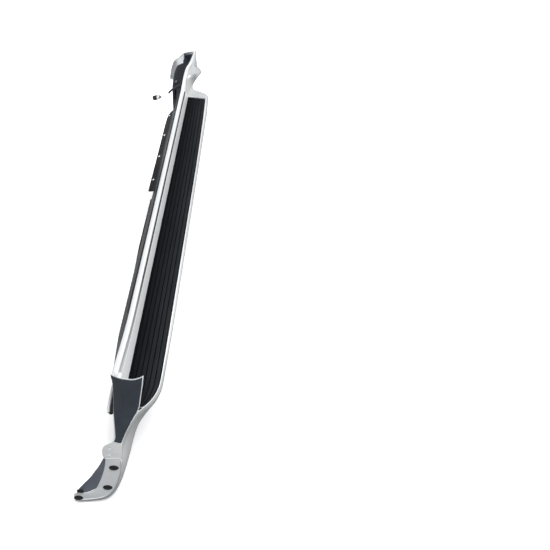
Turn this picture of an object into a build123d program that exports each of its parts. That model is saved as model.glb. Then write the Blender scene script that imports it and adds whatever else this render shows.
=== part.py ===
from build123d import *
from math import sin, cos, radians, hypot
import os

# Moulded running board for a large off-road wagon, left-hand side.
#
# Frame: +Y runs along the board from the mudguard end (-Y, front) to the closed end (+Y),
# +X points away from the vehicle, +Z up. Everything is drawn with the tread face at Z = 0
# and its inboard edge at X = 0, then moved so that the origin lies midway between the
# two holes of the middle saddle.

os.makedirs("parts", exist_ok=True)

# ---------------------------------------------------------------- driving dimensions
SKIN = 3.0                  # painted shell wall
LINER = 2.5                 # black moulding wall
TREAD_W = 102.5             # clear tread width amidships
DECK_Z = -4.0               # floor the step pad sits on
DECK_UNDER_Z = DECK_Z - SKIN
RIDGE_H = 43.0              # upstand height above the tread

SADDLE_X = 33.0
SADDLE_Y = {"saddle_front": -470.0, "saddle_middle": 0.0, "saddle_rear": 470.0}
SADDLE_PITCH = 60.0         # two nut holes per saddle, along Y
NUT_HOLE_R = 5.6            # clearance hole for a rivet nut
NUT_OFFSETS = (-SADDLE_PITCH / 2, SADDLE_PITCH / 2)
NUT_POINTS = [(SADDLE_X, y + offset) for y in SADDLE_Y.values() for offset in NUT_OFFSETS]

FLANGE_Z = -43.0            # underside of the sill flange and strip
SCREW_X = -71.0
SCREW_Y_LONG = (120.0, 250.0, 397.0, 547.0, 645.0)   # screws of the sill flange
SCREW_Y_SHORT = (20.0, -130.0, -280.0)               # screws of the short strip
LONG_SCREWS = [(SCREW_X, y) for y in SCREW_Y_LONG]
SHORT_SCREWS = [(SCREW_X, y) for y in SCREW_Y_SHORT]
ALL_SCREWS = LONG_SCREWS + SHORT_SCREWS
SCREW_HOLE_R = 2.7

PIN_PITCH = 160.0
PIN_POINTS = [(-55.0, -560.0 + PIN_PITCH * i) for i in range(8)]
PIN_HOLE_R = 3.1

FLANK_WINDOW = (724.0, -26.0)   # Y, Z of the clip window in the inner panel's flank
TOP_WINDOW = (-58.0, 772.0)     # X, Y of the clip window in its top

TO_ORIGIN = Location((-SADDLE_X, 0.0, 39.5))


# ---------------------------------------------------------------- helpers
def right_normal(start, end):
    """Unit normal to the right of the step from start to end."""
    dx, dy = end[0] - start[0], end[1] - start[1]
    length = hypot(dx, dy)
    return (dy / length, -dx / length)


def band(path, thickness):
    """Closed outline of a wall laid to the right of an open path (left if negative)."""
    offset_side = []
    last = len(path) - 1
    for i, (x, y) in enumerate(path):
        if i == 0:
            normal, stretch = right_normal(path[0], path[1]), 1.0
        elif i == last:
            normal, stretch = right_normal(path[-2], path[-1]), 1.0
        else:
            before = right_normal(path[i - 1], path[i])
            after = right_normal(path[i], path[i + 1])
            sum_x, sum_y = before[0] + after[0], before[1] + after[1]
            length = hypot(sum_x, sum_y)
            normal = (sum_x / length, sum_y / length)
            # mitre, limited at sharp corners
            cosine = normal[0] * before[0] + normal[1] * before[1]
            stretch = min(1.0 / max(0.35, cosine), 1.8)
        offset_side.append((x + normal[0] * thickness * stretch,
                            y + normal[1] * thickness * stretch))
    return list(path) + offset_side[::-1]


def y_plane(y):
    """XZ plane at the given Y, local axes X and Z, normal along -Y."""
    return Plane(origin=(0, y, 0), x_dir=(1, 0, 0), z_dir=(0, -1, 0))


def midpoint(start, end):
    return tuple(start[k] + (end[k] - start[k]) * 0.5 for k in range(3))


def strip_frame(pair, following, preceding):
    """Plane through a pair of edge points, square to the run of the strip, and its width."""
    start, end = pair
    ahead = midpoint(*following)
    behind = midpoint(*preceding)
    run = Vector(ahead[0] - behind[0], ahead[1] - behind[1], ahead[2] - behind[2])
    across = Vector(end[0] - start[0], end[1] - start[1], end[2] - start[2])
    normal = run - across.normalized() * run.dot(across.normalized())
    return Plane(origin=start, x_dir=across, z_dir=normal), across.length


def ruled_loft(sections):
    """Straight-sided loft through (plane, closed outline) sections."""
    with BuildPart() as body:
        for plane, outline in sections:
            with BuildSketch(plane):
                with BuildLine():
                    Polyline(*outline, close=True)
                make_face()
        loft(ruled=True)
    return body.part


def strip(pairs, thickness, offset=0.0, inset=0.0, sag=0.0):
    """Thin strip lofted through pairs of edge points.

    offset lifts it off the pairs, inset narrows both edges, sag lowers its middle."""
    sections = []
    for i, pair in enumerate(pairs):
        following = pairs[min(i + 1, len(pairs) - 1)]
        preceding = pairs[max(i - 1, 0)]
        plane, width = strip_frame(pair, following, preceding)
        left, right = inset, width - inset
        middle = 0.5 * (left + right)
        top = offset + thickness
        sections.append((plane, [(left, offset), (middle, offset - sag), (right, offset),
                                 (right, top), (middle, top - sag), (left, top)]))
    return ruled_loft(sections)


def plate(plane, outline, thickness, holes=()):
    """Flat plate with round holes, given as (radius, centres)."""
    with BuildPart() as body:
        with BuildSketch(plane):
            with BuildLine():
                Polyline(*outline, close=True)
            make_face()
            for radius, centres in holes:
                with Locations(*centres):
                    Circle(radius, mode=Mode.SUBTRACT)
        extrude(amount=thickness)
    return body.part


def trimmed(blank, cutter):
    """The blank with everything inside the cutter removed."""
    with BuildPart() as body:
        add(blank)
        add(cutter, mode=Mode.SUBTRACT)
    return body.part


# ================================================================ outer shell: tread length
# X, Z of the upstand wall: exposed face from the inboard lip over the top to the tread
UPSTAND = [(-20.0, 36.0), (-18.8, 41.3), (-15.0, RIDGE_H), (-5.5, 42.2), (-1.6, 38.2),
           (-1.5, 34.5), (-4.6, 32.8), (-4.6, 27.2), (-1.9, 25.5), (-0.6, 5.0)]
# X, Z of its hidden face, from the tread back up to the lip
HIDDEN = [(-3.7, 5.0), (-5.2, 24.0), (-7.8, 26.2), (-7.8, 34.0), (-4.9, 36.0),
          (-6.8, 39.0), (-14.5, 39.9), (-16.1, 38.7), (-17.1, 35.4)]


def lean(points, shift_x, rise_z):
    """Shift upstand points in proportion to their height."""
    return [(x + shift_x * z / RIDGE_H, z + rise_z * z / RIDGE_H) for (x, z) in points]


def tread_section(tread_x, nose, shift_x, rise_z):
    """Closed outline of the shell over the tread: upstand, deck, rim, nose, underside."""
    deck = [(0.0, DECK_Z), (tread_x, DECK_Z), (tread_x, 0.6), (tread_x + 1.6, 1.4)]
    underside = [(tread_x + 0.5, DECK_UNDER_Z), (-3.2, DECK_UNDER_Z)]
    return (lean(UPSTAND, shift_x, rise_z) + deck + nose + underside
            + lean(HIDDEN, shift_x, rise_z))


def lipped_nose(nose_x, lip_rise):
    """Nose that turns back inboard into an under-lip."""
    return [(nose_x - 3.4, 1.0), (nose_x, -3.0), (nose_x - 0.6, -8.0),
            (nose_x - 8.0, -15.0 + lip_rise), (nose_x - 17.0, -21.0 + lip_rise),
            (nose_x - 18.7, -18.4 + lip_rise), (nose_x - 9.6, -12.2 + lip_rise),
            (nose_x - 4.2, -8.0)]


def plain_nose(nose_x):
    """Nose without an under-lip, for the curved tip."""
    return [(nose_x - 2.0, 1.0), (nose_x, -2.5), (nose_x - 0.5, -7.5), (nose_x - 3.4, -7.6)]


# Y, tread edge X, nose X, lip rise, upstand shift X, upstand rise Z
MAIN_STATIONS = [
    (682.0, 91.0, 101.5, 3.0, 0.0, 0.0),
    (645.0, 93.2, 104.5, 2.0, 0.0, 0.0),
    (600.0, 94.6, 108.5, 1.0, 0.0, 0.0),
    (520.0, 96.8, 111.8, 0.0, 0.0, 0.0),
    (330.0, 100.4, 112.4, 0.0, 0.0, 0.0),
    (120.0, TREAD_W, 112.6, 0.0, 0.0, 0.0),
    (-520.0, TREAD_W, 112.4, 0.0, 0.0, 0.0),
    (-590.0, TREAD_W, 112.0, 0.0, -1.5, 0.6),
    (-640.0, 102.4, 111.2, -1.0, -3.2, 2.4),
    (-700.0, 102.2, 110.2, -3.0, -4.8, 6.0),
    (-742.0, 100.6, 108.2, -5.0, -5.0, 7.0),
]
# X, Y of the piece cut off beyond the slanted +Y end of the tread
SLANT_CUT = [(2.0, 684.0), (120.0, 636.0), (120.0, 700.0), (2.0, 700.0)]

with BuildPart() as shell_main:
    for (y, tread_x, nose_x, lip_rise, shift_x, rise_z) in MAIN_STATIONS:
        with BuildSketch(y_plane(y)):
            with BuildLine():
                Polyline(*tread_section(tread_x, lipped_nose(nose_x, lip_rise),
                                        shift_x, rise_z), close=True)
            make_face()
    loft(ruled=True)
    with BuildSketch(Plane.XY.offset(-30)):
        with BuildLine():
            Polyline(*SLANT_CUT, close=True)
        make_face()
    extrude(amount=50, mode=Mode.SUBTRACT)

# curved -Y tip of the tread: Y, tread edge X, nose X
TIP_STATIONS = [(-742.0, 100.6, 108.2), (-757.0, 96.6, 104.6), (-769.0, 91.8, 100.4),
                (-781.0, 84.0, 93.0), (-792.0, 73.8, 83.5), (-800.0, 64.4, 74.0)]
shell_tip = ruled_loft([(y_plane(y), tread_section(tread_x, plain_nose(nose_x), -5.0, 7.0))
                        for (y, tread_x, nose_x) in TIP_STATIONS])

# shelf closing the +Y end of the tread, X and Y of its outline and of the hollow below
SHELF = [(-1.5, 680.0), (2.0, 683.0), (93.0, 645.0), (104.0, 636.0), (104.6, 650.0),
         (100.8, 668.0), (94.0, 685.0), (74.0, 704.0), (51.0, 723.0), (27.0, 740.5),
         (13.0, 760.0), (9.5, 775.0), (-1.5, 775.0)]
SHELF_HOLLOW = [(4.0, 686.0), (90.0, 650.5), (99.0, 645.0), (97.6, 662.0), (91.5, 680.0),
                (71.0, 700.0), (49.0, 718.0), (25.0, 735.0), (10.0, 752.0), (4.0, 752.0)]
SHELF_DEPTH = 7.8
SHELF_HOLLOW_DEPTH = 4.4

with BuildPart() as shell_shelf:
    with BuildSketch(Plane.XY.offset(DECK_UNDER_Z)):
        with BuildLine():
            Polyline(*SHELF, close=True)
        make_face()
    extrude(amount=SHELF_DEPTH)
    with BuildSketch(Plane.XY.offset(DECK_UNDER_Z)):
        with BuildLine():
            Polyline(*SHELF_HOLLOW, close=True)
        make_face()
    extrude(amount=SHELF_HOLLOW_DEPTH, mode=Mode.SUBTRACT)

# ================================================================ outer shell: closed end
# upstand carried past the tread, sweeping outboard at the tip
# Y, shift X, rise Z, height factor, width factor
RIDGE_STATIONS = [
    (645.0, 0.0, 0.0, 1.0, 1.0),
    (700.0, -0.6, 1.0, 1.0, 1.0),
    (775.0, -1.0, 3.5, 1.0, 1.0),
    (800.0, -0.5, 5.0, 0.92, 1.0),
    (860.0, 4.0, 8.0, 0.66, 0.98),
    (897.0, 16.5, 10.0, 0.6, 0.9),
    (940.0, 23.0, 10.5, 0.52, 0.8),
    (990.0, 28.0, 10.5, 0.38, 0.62),
    (1018.0, 29.5, 10.5, 0.28, 0.42),
]


def ridge_section(shift_x, rise_z, height_factor, width_factor):
    """Upstand scaled about its inboard edge and its top, then shifted."""
    return [(-20.0 + shift_x + (x + 20.0) * width_factor,
             RIDGE_H + rise_z - (RIDGE_H - z) * height_factor)
            for (x, z) in UPSTAND + HIDDEN]


shell_ridge = ruled_loft([(y_plane(y), ridge_section(*shape))
                          for (y, *shape) in RIDGE_STATIONS])

# wing curving outboard into the wheel-arch lip: (lower, upper) points of its outer face
WING = [((-1.0, 692, -4.0), (-2.6, 692, 42.0)), ((3.0, 738, -3.5), (-1.8, 738, 43.0)),
        ((8.2, 768, -1.0), (0.5, 768, 45.0)), ((14.0, 785, 5.0), (6.0, 783, 48.0)),
        ((24.5, 797, 14.0), (19.5, 795, 50.5)), ((40.0, 802, 26.0), (37.0, 802, 52.0)),
        ((56.0, 801, 38.5), (55.0, 802, 53.0)), ((68.5, 797, 48.5), (68.7, 797.5, 54.0))]
shell_wing = strip(WING, SKIN, offset=-SKIN)

# level web tying the wing back to the ridge: X, Y
WEB = [(-6.0, 790.0), (20.0, 796.0), (40.0, 801.5), (56.0, 801.0), (68.0, 797.5),
       (66.5, 812.0), (61.5, 825.0), (46.0, 851.0), (31.0, 872.0), (20.0, 900.0),
       (5.0, 880.0), (-6.0, 850.0)]
WEB_Z = 49.0
WEB_T = 3.6
shell_web = plate(Plane.XY.offset(WEB_Z), WEB, WEB_T)

# transverse end plate and the skirt along its outboard and lower edges: X, Z
END_SKIRT = [(17.0, 54.0), (9.0, 10.0), (4.0, -20.0), (-2.0, -44.0), (-16.0, -60.0),
             (-40.0, -68.0), (-100.0, -70.0), (-150.0, -66.0)]
END_PLATE = [(17.0, 54.0), (-6.0, 53.5), (-46.0, 52.5), (-62.0, 46.0), (-78.0, 34.0),
             (-112.0, 27.0), (-128.0, 8.0), (-146.0, -25.0), (-167.0, -57.0),
             (-161.0, -65.0), (-100.0, -70.0), (-40.0, -68.0), (-16.0, -60.0),
             (-2.0, -44.0), (4.0, -20.0), (9.0, 10.0)]
END_Y = 1021.0
SKIRT_DEPTH = 64.0
SKIRT_CUT = [(950.0, -80.0), (1008.0, -80.0), (950.0, 40.0)]   # Y, Z

with BuildPart() as shell_end:
    with BuildSketch(Plane.XZ.offset(-END_Y)):
        with BuildLine():
            Polyline(*END_PLATE, close=True)
        make_face()
    extrude(amount=SKIN)
    with BuildSketch(Plane.XZ.offset(-END_Y)):
        with BuildLine():
            Polyline(*band(END_SKIRT, SKIN), close=True)
        make_face()
    extrude(amount=SKIRT_DEPTH)
    # slope the free edge of the skirt
    with BuildSketch(Plane.YZ.offset(-200.0)):
        with BuildLine():
            Polyline(*SKIRT_CUT, close=True)
        make_face()
    extrude(amount=260.0, mode=Mode.SUBTRACT)

# ================================================================ outer shell: mudguard end
# outer wall from the tread edge down to the mudguard foot: (upper, lower) edge points
WALL = [((108.6, -690, 0.0), (98.5, -692, -18.0)), ((107.6, -742, 0.0), (92.0, -743, -32.0)),
        ((98.8, -774, -1.0), (80.0, -770, -38.0)), ((80.0, -799, -3.0), (66.0, -787, -42.0)),
        ((61.0, -813, -6.0), (51.0, -805, -45.0)), ((45.5, -824, -11.5), (40.0, -819, -48.0)),
        ((34.0, -836, -17.5), (30.5, -832, -53.0)), ((22.0, -849, -25.0), (21.0, -849, -63.0)),
        ((11.5, -861, -34.0), (12.5, -865, -75.0)), ((3.5, -874, -43.0), (5.5, -880, -85.0)),
        ((-3.5, -888, -51.0), (0.0, -893, -94.0)), ((-6.0, -904, -58.5), (-6.0, -905, -102.0)),
        ((-7.0, -920, -66.0), (-11.0, -915, -109.0)),
        ((-13.0, -941, -90.5), (-19.5, -934, -120.0)),
        ((-21.0, -953.6, -105.6), (-28.0, -950, -129.0)),
        ((-30.0, -964.2, -118.2), (-37.0, -963, -138.0)),
        ((-42.4, -977.1, -133.5), (-49.0, -976, -147.0)),
        ((-55.8, -987.8, -146.4), (-62.0, -986, -156.0)),
        ((-79.0, -999.7, -160.5), (-83.0, -996, -167.0)),
        ((-99.6, -1004.6, -166.5), (-102.0, -998, -171.0)),
        ((-122.0, -1006.5, -168.7), (-123.0, -998, -172.0)),
        ((-153.4, -1007.7, -170.1), (-153.0, -999, -172.5))]
shell_wall = strip(WALL, SKIN, offset=-SKIN)

# arch blade from its top lip down to the lobed plate: (inboard, outboard) edge points
BLADE = [((-25.0, -718.5, 50.0), (78.6, -733.7, 57.0)),
         ((-24.0, -735.0, 36.5), (74.8, -750.5, 46.0)),
         ((-27.0, -766.0, 12.0), (64.8, -778.0, 24.5)),
         ((-29.0, -791.0, -3.5), (54.8, -803.0, 4.0)),
         ((-30.0, -813.0, -16.0), (37.5, -823.0, -11.0)),
         ((-30.0, -838.0, -30.0), (20.5, -846.0, -23.5)),
         ((-28.6, -862.0, -41.0), (3.0, -868.0, -40.5)),
         ((-28.0, -879.0, -48.0), (-5.0, -882.0, -48.5))]
shell_blade = strip(BLADE, SKIN, offset=-SKIN)


def arch_plane(slope):
    """Plane falling towards -Y at the given slope, through the top of the arch flange."""
    return Plane(origin=(-11.0, -917.0, -62.0), x_dir=(1, 0, 0),
                 z_dir=(0, -sin(radians(slope)), cos(radians(slope))))


# wheel-arch flange with three oval openings, local to its plane
ARCH_PLANE = arch_plane(50.0)
ARCH_OUTER_EDGE = [(0.5, 1.5), (4.4, -6.3), (-1.8, -37.2), (-9.6, -56.9), (-18.3, -73.4),
                   (-31.0, -93.4), (-44.4, -110.1), (-67.5, -128.6), (-88.6, -137.2),
                   (-110.9, -140.2), (-142.5, -142.0), (-161.7, -143.0), (-171.5, -137.5),
                   (-174.4, -130.0), (-171.0, -119.0)]
ARCH_INNER_EDGE = [(-158.2, -109.1), (-145.3, -111.9), (-128.0, -110.5), (-111.6, -106.4),
                   (-94.4, -95.1), (-79.4, -75.0), (-62.6, -48.5), (-51.0, -25.6),
                   (-43.0, -5.0), (-41.0, 1.5)]
OVAL_POINTS = [(-24.4, -29.5), (-59.8, -94.3), (-158.5, -127.5)]
OVAL_HALF_LENGTH = 11.5
OVAL_HALF_WIDTH = 6.2

with BuildPart() as shell_arch_flange:
    with BuildSketch(ARCH_PLANE):
        with BuildLine():
            Polyline(*(ARCH_OUTER_EDGE + ARCH_INNER_EDGE), close=True)
        make_face()
        with Locations(*OVAL_POINTS):
            Ellipse(OVAL_HALF_LENGTH, OVAL_HALF_WIDTH, mode=Mode.SUBTRACT)
    extrude(amount=-SKIN)

# lobed plate above the flange, with two rivet holes, local to its plane
LOBE = [(4.5, -0.5), (6.2, 15.0), (7.0, 38.5), (-4.0, 41.5), (-16.0, 42.5), (-26.0, 41.5),
        (-34.0, 38.6), (-43.0, 35.5), (-49.0, 31.0), (-52.2, 24.5), (-51.8, 17.0),
        (-49.8, 8.0), (-46.0, 2.0), (-41.5, -0.5)]
RIVET_R = 2.1
RIVET_POINTS = [(-28.8, 26.4), (-30.0, 11.1)]
shell_lobe = plate(arch_plane(23.4), LOBE, -SKIN, [(RIVET_R, RIVET_POINTS)])

# ================================================================ outer shell: joined
# Y, Z of the cut that clears the upstand from the far side of the arch blade
BLADE_CUT = [(-714.0, 64.0), (-720.5, 50.0), (-736.5, 36.5), (-767.0, 12.0),
             (-790.0, -3.2), (-840.0, -3.2), (-840.0, 64.0)]

with BuildPart() as outer_shell:
    add(shell_main.part)
    add(shell_tip)
    with BuildSketch(Plane.YZ.offset(-40.0)):
        with BuildLine():
            Polyline(*BLADE_CUT, close=True)
        make_face()
    extrude(amount=88.0, mode=Mode.SUBTRACT)
    add(shell_shelf.part)
    add(shell_ridge)
    add(shell_wing)
    add(shell_web)
    add(shell_end.part)
    add(shell_wall)
    add(shell_blade)
    add(shell_lobe)
    add(shell_arch_flange.part)

# ================================================================ inner panel
# X, Z of the visible side, top lip first
PANEL_MAIN = [(-18.5, 34.9), (-24.0, 33.2), (-30.0, 28.5), (-50.0, 6.5), (-70.0, -16.5),
              (-81.5, -29.5), (-84.6, -34.0), (-84.4, -37.6), (-81.0, -40.3), (-48.0, -40.3)]
# Y, path
PANEL_STATIONS = [
    (925.0, [(-2.0, 47.4), (-14.0, 47.2), (-28.0, 46.6), (-48.0, 44.0), (-65.5, 40.5),
             (-79.5, 34.5), (-85.5, 24.0), (-85.5, -37.0), (-81.0, -40.3), (-48.0, -40.3)]),
    (860.0, [(-14.6, 45.0), (-24.0, 44.4), (-36.0, 43.4), (-56.0, 41.0), (-73.0, 38.0),
             (-85.0, 32.0), (-89.0, 22.0), (-89.0, -37.0), (-83.0, -40.3), (-48.0, -40.3)]),
    (780.0, [(-19.4, 38.6), (-26.0, 38.4), (-38.0, 37.5), (-58.0, 34.5), (-74.0, 30.5),
             (-83.5, 24.5), (-87.6, 15.0), (-87.6, -37.0), (-83.5, -40.3), (-48.0, -40.3)]),
    (700.0, [(-19.1, 35.9), (-25.0, 34.6), (-33.0, 31.0), (-54.0, 18.0), (-72.0, 3.0),
             (-83.5, -8.0), (-86.6, -16.0), (-86.6, -37.2), (-82.5, -40.3), (-48.0, -40.3)]),
    (640.0, PANEL_MAIN),
    (-540.0, PANEL_MAIN),
    (-610.0, [(-20.0, 35.4), (-25.6, 33.8), (-31.4, 29.0), (-49.0, 7.5), (-67.0, -16.0),
              (-77.5, -29.5), (-80.4, -34.0), (-80.2, -37.6), (-77.0, -40.3), (-46.0, -40.3)]),
    (-712.0, [(-23.0, 40.6), (-27.5, 39.0), (-32.0, 34.0), (-44.0, 12.0), (-57.0, -14.0),
              (-66.5, -29.5), (-69.4, -34.0), (-69.2, -37.6), (-66.0, -40.3), (-44.0, -40.3)]),
]
SLOT_PLACE = Location((-64.0, 704.0), -96.0)
SLOT_LENGTH = 58.0
SLOT_WIDTH = 13.0
WINDOW_LENGTH = 16.0
WINDOW_WIDTH = 12.0

with BuildPart() as inner_panel:
    for (y, path) in PANEL_STATIONS:
        with BuildSketch(y_plane(y)):
            with BuildLine():
                Polyline(*band(path, -LINER), close=True)
            make_face()
    loft(ruled=True)
    # elongated slot in the flank near the closed end
    with BuildSketch(Plane.XY.offset(-30.0)):
        with Locations(SLOT_PLACE):
            SlotOverall(SLOT_LENGTH, SLOT_WIDTH)
    extrude(amount=60.0, mode=Mode.SUBTRACT)
    # clip windows
    with BuildSketch(Plane.YZ.offset(-95.0)):
        with Locations(FLANK_WINDOW):
            Rectangle(WINDOW_LENGTH, WINDOW_WIDTH)
    extrude(amount=15.0, mode=Mode.SUBTRACT)
    with BuildSketch(Plane.XY.offset(15.0)):
        with Locations(TOP_WINDOW):
            Rectangle(WINDOW_WIDTH, WINDOW_LENGTH)
    extrude(amount=30.0, mode=Mode.SUBTRACT)
    # screw and push-pin holes in the bottom ledge
    with BuildSketch(Plane.XY.offset(-42.0)):
        with Locations(*ALL_SCREWS):
            Circle(SCREW_HOLE_R)
        with Locations(*PIN_POINTS):
            Circle(PIN_HOLE_R)
    extrude(amount=6.0, mode=Mode.SUBTRACT)

# ================================================================ under cover
COVER_LEDGE = [(-48.0, -43.6), (-61.5, -43.0)]   # X, Z of the ledge ending every section


def cover_path(edge_x, edge_z):
    """Bowl from the outboard edge to the ledge, scaled from the edge point."""
    return [(edge_x, edge_z), (edge_x - 9.0, edge_z - 6.6),
            (edge_x * 0.72, edge_z * 0.36 - 32.5),
            (edge_x * 0.43, -50.5 + (edge_z + 21.0) * 0.1), (edge_x * 0.08, -56.8),
            (-22.0, -55.5), (-41.0, -48.5)]


# Y, path of X, Z points from the outboard edge, without the ledge
COVER_STATIONS = [
    (955.0, [(15.0, 35.0), (2.0, 10.0), (-8.0, -10.0), (-17.0, -27.0), (-25.0, -40.0),
             (-31.0, -47.5), (-41.0, -49.0)]),
    (880.0, [(4.0, 24.0), (-2.0, 8.0), (-9.0, -10.0), (-17.0, -27.0), (-24.0, -40.0),
             (-31.0, -47.5), (-41.0, -49.0)]),
    (806.0, [(-3.5, -4.0), (-5.0, -14.0), (-8.0, -26.0), (-13.0, -36.0), (-20.0, -44.0),
             (-29.0, -49.0), (-41.0, -49.0)]),
    (752.0, [(5.0, -9.5), (3.0, -19.0), (-1.0, -30.0), (-7.0, -40.0), (-14.0, -47.0),
             (-26.0, -52.0), (-41.0, -49.0)]),
    (700.0, [(66.0, -9.5), (60.0, -18.0), (48.0, -31.0), (30.0, -43.0), (6.0, -51.0),
             (-22.0, -53.5), (-41.0, -48.5)]),
    (640.0, cover_path(84.2, -20.0)),
    (520.0, cover_path(91.8, -21.4)),
    (-560.0, cover_path(92.4, -21.4)),
    (-640.0, cover_path(91.4, -22.6)),
    (-700.0, cover_path(90.0, -25.5)),
    (-742.0, cover_path(84.0, -35.5)),
    (-768.0, cover_path(74.0, -40.5)),
    (-792.0, cover_path(56.0, -45.0)),
]
COVER_CUT_Z = -62.0     # below the whole cover
DRAIN_POINTS = [(-14.0, y) for y in (-640.0, -235.0, 235.0, 600.0)]

with BuildPart() as under_cover:
    for (y, path) in COVER_STATIONS:
        with BuildSketch(y_plane(y)):
            with BuildLine():
                Polyline(*band(path + COVER_LEDGE, LINER), close=True)
            make_face()
    loft(ruled=True)
    # openings that let the vehicle brackets reach the saddles
    with BuildSketch(Plane.XY.offset(COVER_CUT_Z)):
        with Locations(*[(SADDLE_X, y) for y in SADDLE_Y.values()]):
            RectangleRounded(44.0, 104.0, 8.0)
    extrude(amount=26.0, mode=Mode.SUBTRACT)
    # drain holes
    with BuildSketch(Plane.XY.offset(COVER_CUT_Z)):
        with Locations(*DRAIN_POINTS):
            SlotOverall(16.0, 7.0)
    extrude(amount=14.0, mode=Mode.SUBTRACT)
    # push-pin holes
    with BuildSketch(Plane.XY.offset(-44.5)):
        with Locations(*PIN_POINTS):
            Circle(PIN_HOLE_R)
    extrude(amount=6.0, mode=Mode.SUBTRACT)
    # relief where the cover meets the shell
    add(outer_shell.part, mode=Mode.SUBTRACT)

# ================================================================ step pad
# X, Y: outboard edge from the slanted +Y end round the tip, then back up the inboard side
PAD_OUTLINE = [(88.0, 646.5), (92.4, 644.0), (93.8, 620.0), (94.6, 590.0), (96.4, 520.0),
               (100.0, 330.0), (102.1, 120.0), (102.1, -560.0), (102.0, -640.0),
               (101.8, -700.0), (100.2, -741.0), (96.2, -757.0), (91.4, -769.0),
               (83.6, -780.6), (72.6, -790.8), (61.6, -797.6), (52.0, -798.5),
               (30.0, -792.5), (14.0, -786.0), (1.2, -780.0), (1.2, 680.0)]
PAD_T = 2.4
GRIP_H = 1.8
# inboard X and width of each grip rib: a narrow one, then six alike
GRIP_RIBS = [(1.2, 5.8)] + [(10.0 + 15.3 * i, 12.3) for i in range(6)]
# Y, inboard bend of a rib at X = 100; the bend grows with the square of X
GRIP_BEND = [(690.0, 0.0), (-700.0, 0.0), (-741.0, 2.0), (-757.0, 6.5), (-777.0, 17.0),
             (-799.0, 34.0)]

with BuildPart() as step_pad:
    with BuildSketch(Plane.XY.offset(DECK_Z)):
        with BuildLine():
            Polyline(*PAD_OUTLINE, close=True)
        make_face()
    extrude(amount=PAD_T)
    for (rib_x, rib_width) in GRIP_RIBS:
        bend_factor = (rib_x / 100.0) ** 2
        inboard_side = [(rib_x - bend * bend_factor, y) for (y, bend) in GRIP_BEND]
        outboard_side = [(x + rib_width, y) for (x, y) in inboard_side]
        with BuildSketch(Plane.XY.offset(DECK_Z + PAD_T)):
            with BuildLine():
                Polyline(*(inboard_side + outboard_side[::-1]), close=True)
            make_face()
        extrude(amount=GRIP_H)
    # trim the ribs to the pad outline
    with BuildSketch(Plane.XY.offset(DECK_Z)):
        with BuildLine():
            Polyline(*PAD_OUTLINE, close=True)
        make_face()
    extrude(amount=6.0, mode=Mode.INTERSECT)

# ================================================================ sill flange and short strip
SILL_T = 2.5
BOLT_PITCH = 150.0
BOLT_R = 4.5
BOLT_POINTS = [(-103.0, 172.0 + BOLT_PITCH * i) for i in range(4)]
# X, Y
SILL_FLANGE = [(-64.0, 93.0), (-86.5, 93.0), (-88.0, 100.0), (-109.5, 101.0),
               (-113.0, 104.5), (-113.0, 560.0), (-110.0, 612.0), (-104.0, 640.0),
               (-96.0, 656.0), (-84.0, 667.0), (-64.0, 669.0)]
SILL_STRIP = [(-64.0, 56.0), (-91.0, 56.0), (-93.5, 50.0), (-94.0, -190.0),
              (-91.0, -260.0), (-88.5, -322.0), (-64.0, -330.0)]
sill_flange = plate(Plane.XY.offset(FLANGE_Z), SILL_FLANGE, SILL_T,
                    [(BOLT_R, BOLT_POINTS), (SCREW_HOLE_R, LONG_SCREWS)])
sill_strip = plate(Plane.XY.offset(FLANGE_Z), SILL_STRIP, SILL_T,
                   [(SCREW_HOLE_R, SHORT_SCREWS)])

# ================================================================ flange screws
HEAD_R = 4.8
HEAD_H = 3.0
SOCKET_R = 2.4          # hexagon, centre to corner
SOCKET_FLOOR = 1.0      # head left solid above the socket
SHANK_R = 2.4
SHANK_L = 11.0

with BuildPart() as flange_screws:
    for point in ALL_SCREWS:
        with BuildSketch(Plane.XY.offset(FLANGE_Z)):
            with Locations(point):
                Circle(HEAD_R)
                RegularPolygon(SOCKET_R, 6, mode=Mode.SUBTRACT)
        extrude(amount=-HEAD_H)
        with BuildSketch(Plane.XY.offset(FLANGE_Z - SOCKET_FLOOR)):
            with Locations(point):
                Circle(4.7)
        extrude(amount=SOCKET_FLOOR)
        with BuildSketch(Plane.XY.offset(FLANGE_Z)):
            with Locations(point):
                Circle(SHANK_R)
        extrude(amount=SHANK_L)

# ================================================================ sheet nuts
with BuildPart() as sheet_nuts:
    with BuildSketch(Plane.XY.offset(-37.7)):
        with Locations(*[(x + 1.0, y) for (x, y) in ALL_SCREWS]):
            Rectangle(11.0, 14.0)
        with Locations(*ALL_SCREWS):
            Circle(2.5, mode=Mode.SUBTRACT)
    extrude(amount=1.2)

# ================================================================ push pins of the under cover
with BuildPart() as push_pins:
    # tapered heads
    with BuildSketch(Plane.XY.offset(-43.8)):
        with Locations(*PIN_POINTS):
            Circle(5.2)
    extrude(amount=-1.8, taper=20)
    # shanks
    with BuildSketch(Plane.XY.offset(-43.9)):
        with Locations(*PIN_POINTS):
            Circle(2.9)
    extrude(amount=8.5)

# ================================================================ support beam
BEAM_W = 50.0
BEAM_H = 25.0
BEAM_WALL = 2.5
BEAM_L = 1140.0
BEAM_Z = -22.5          # centre height

with BuildPart() as support_beam:
    with BuildSketch(y_plane(BEAM_L / 2)):
        with Locations((SADDLE_X, BEAM_Z)):
            RectangleRounded(BEAM_W, BEAM_H, 3.5)
            RectangleRounded(BEAM_W - 2 * BEAM_WALL, BEAM_H - 2 * BEAM_WALL, 1.2,
                             mode=Mode.SUBTRACT)
    extrude(amount=BEAM_L)
    # nut holes through the lower wall
    with BuildSketch(Plane.XY.offset(-36.0)):
        with Locations(*NUT_POINTS):
            Circle(NUT_HOLE_R)
    extrude(amount=6.0, mode=Mode.SUBTRACT)

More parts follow.
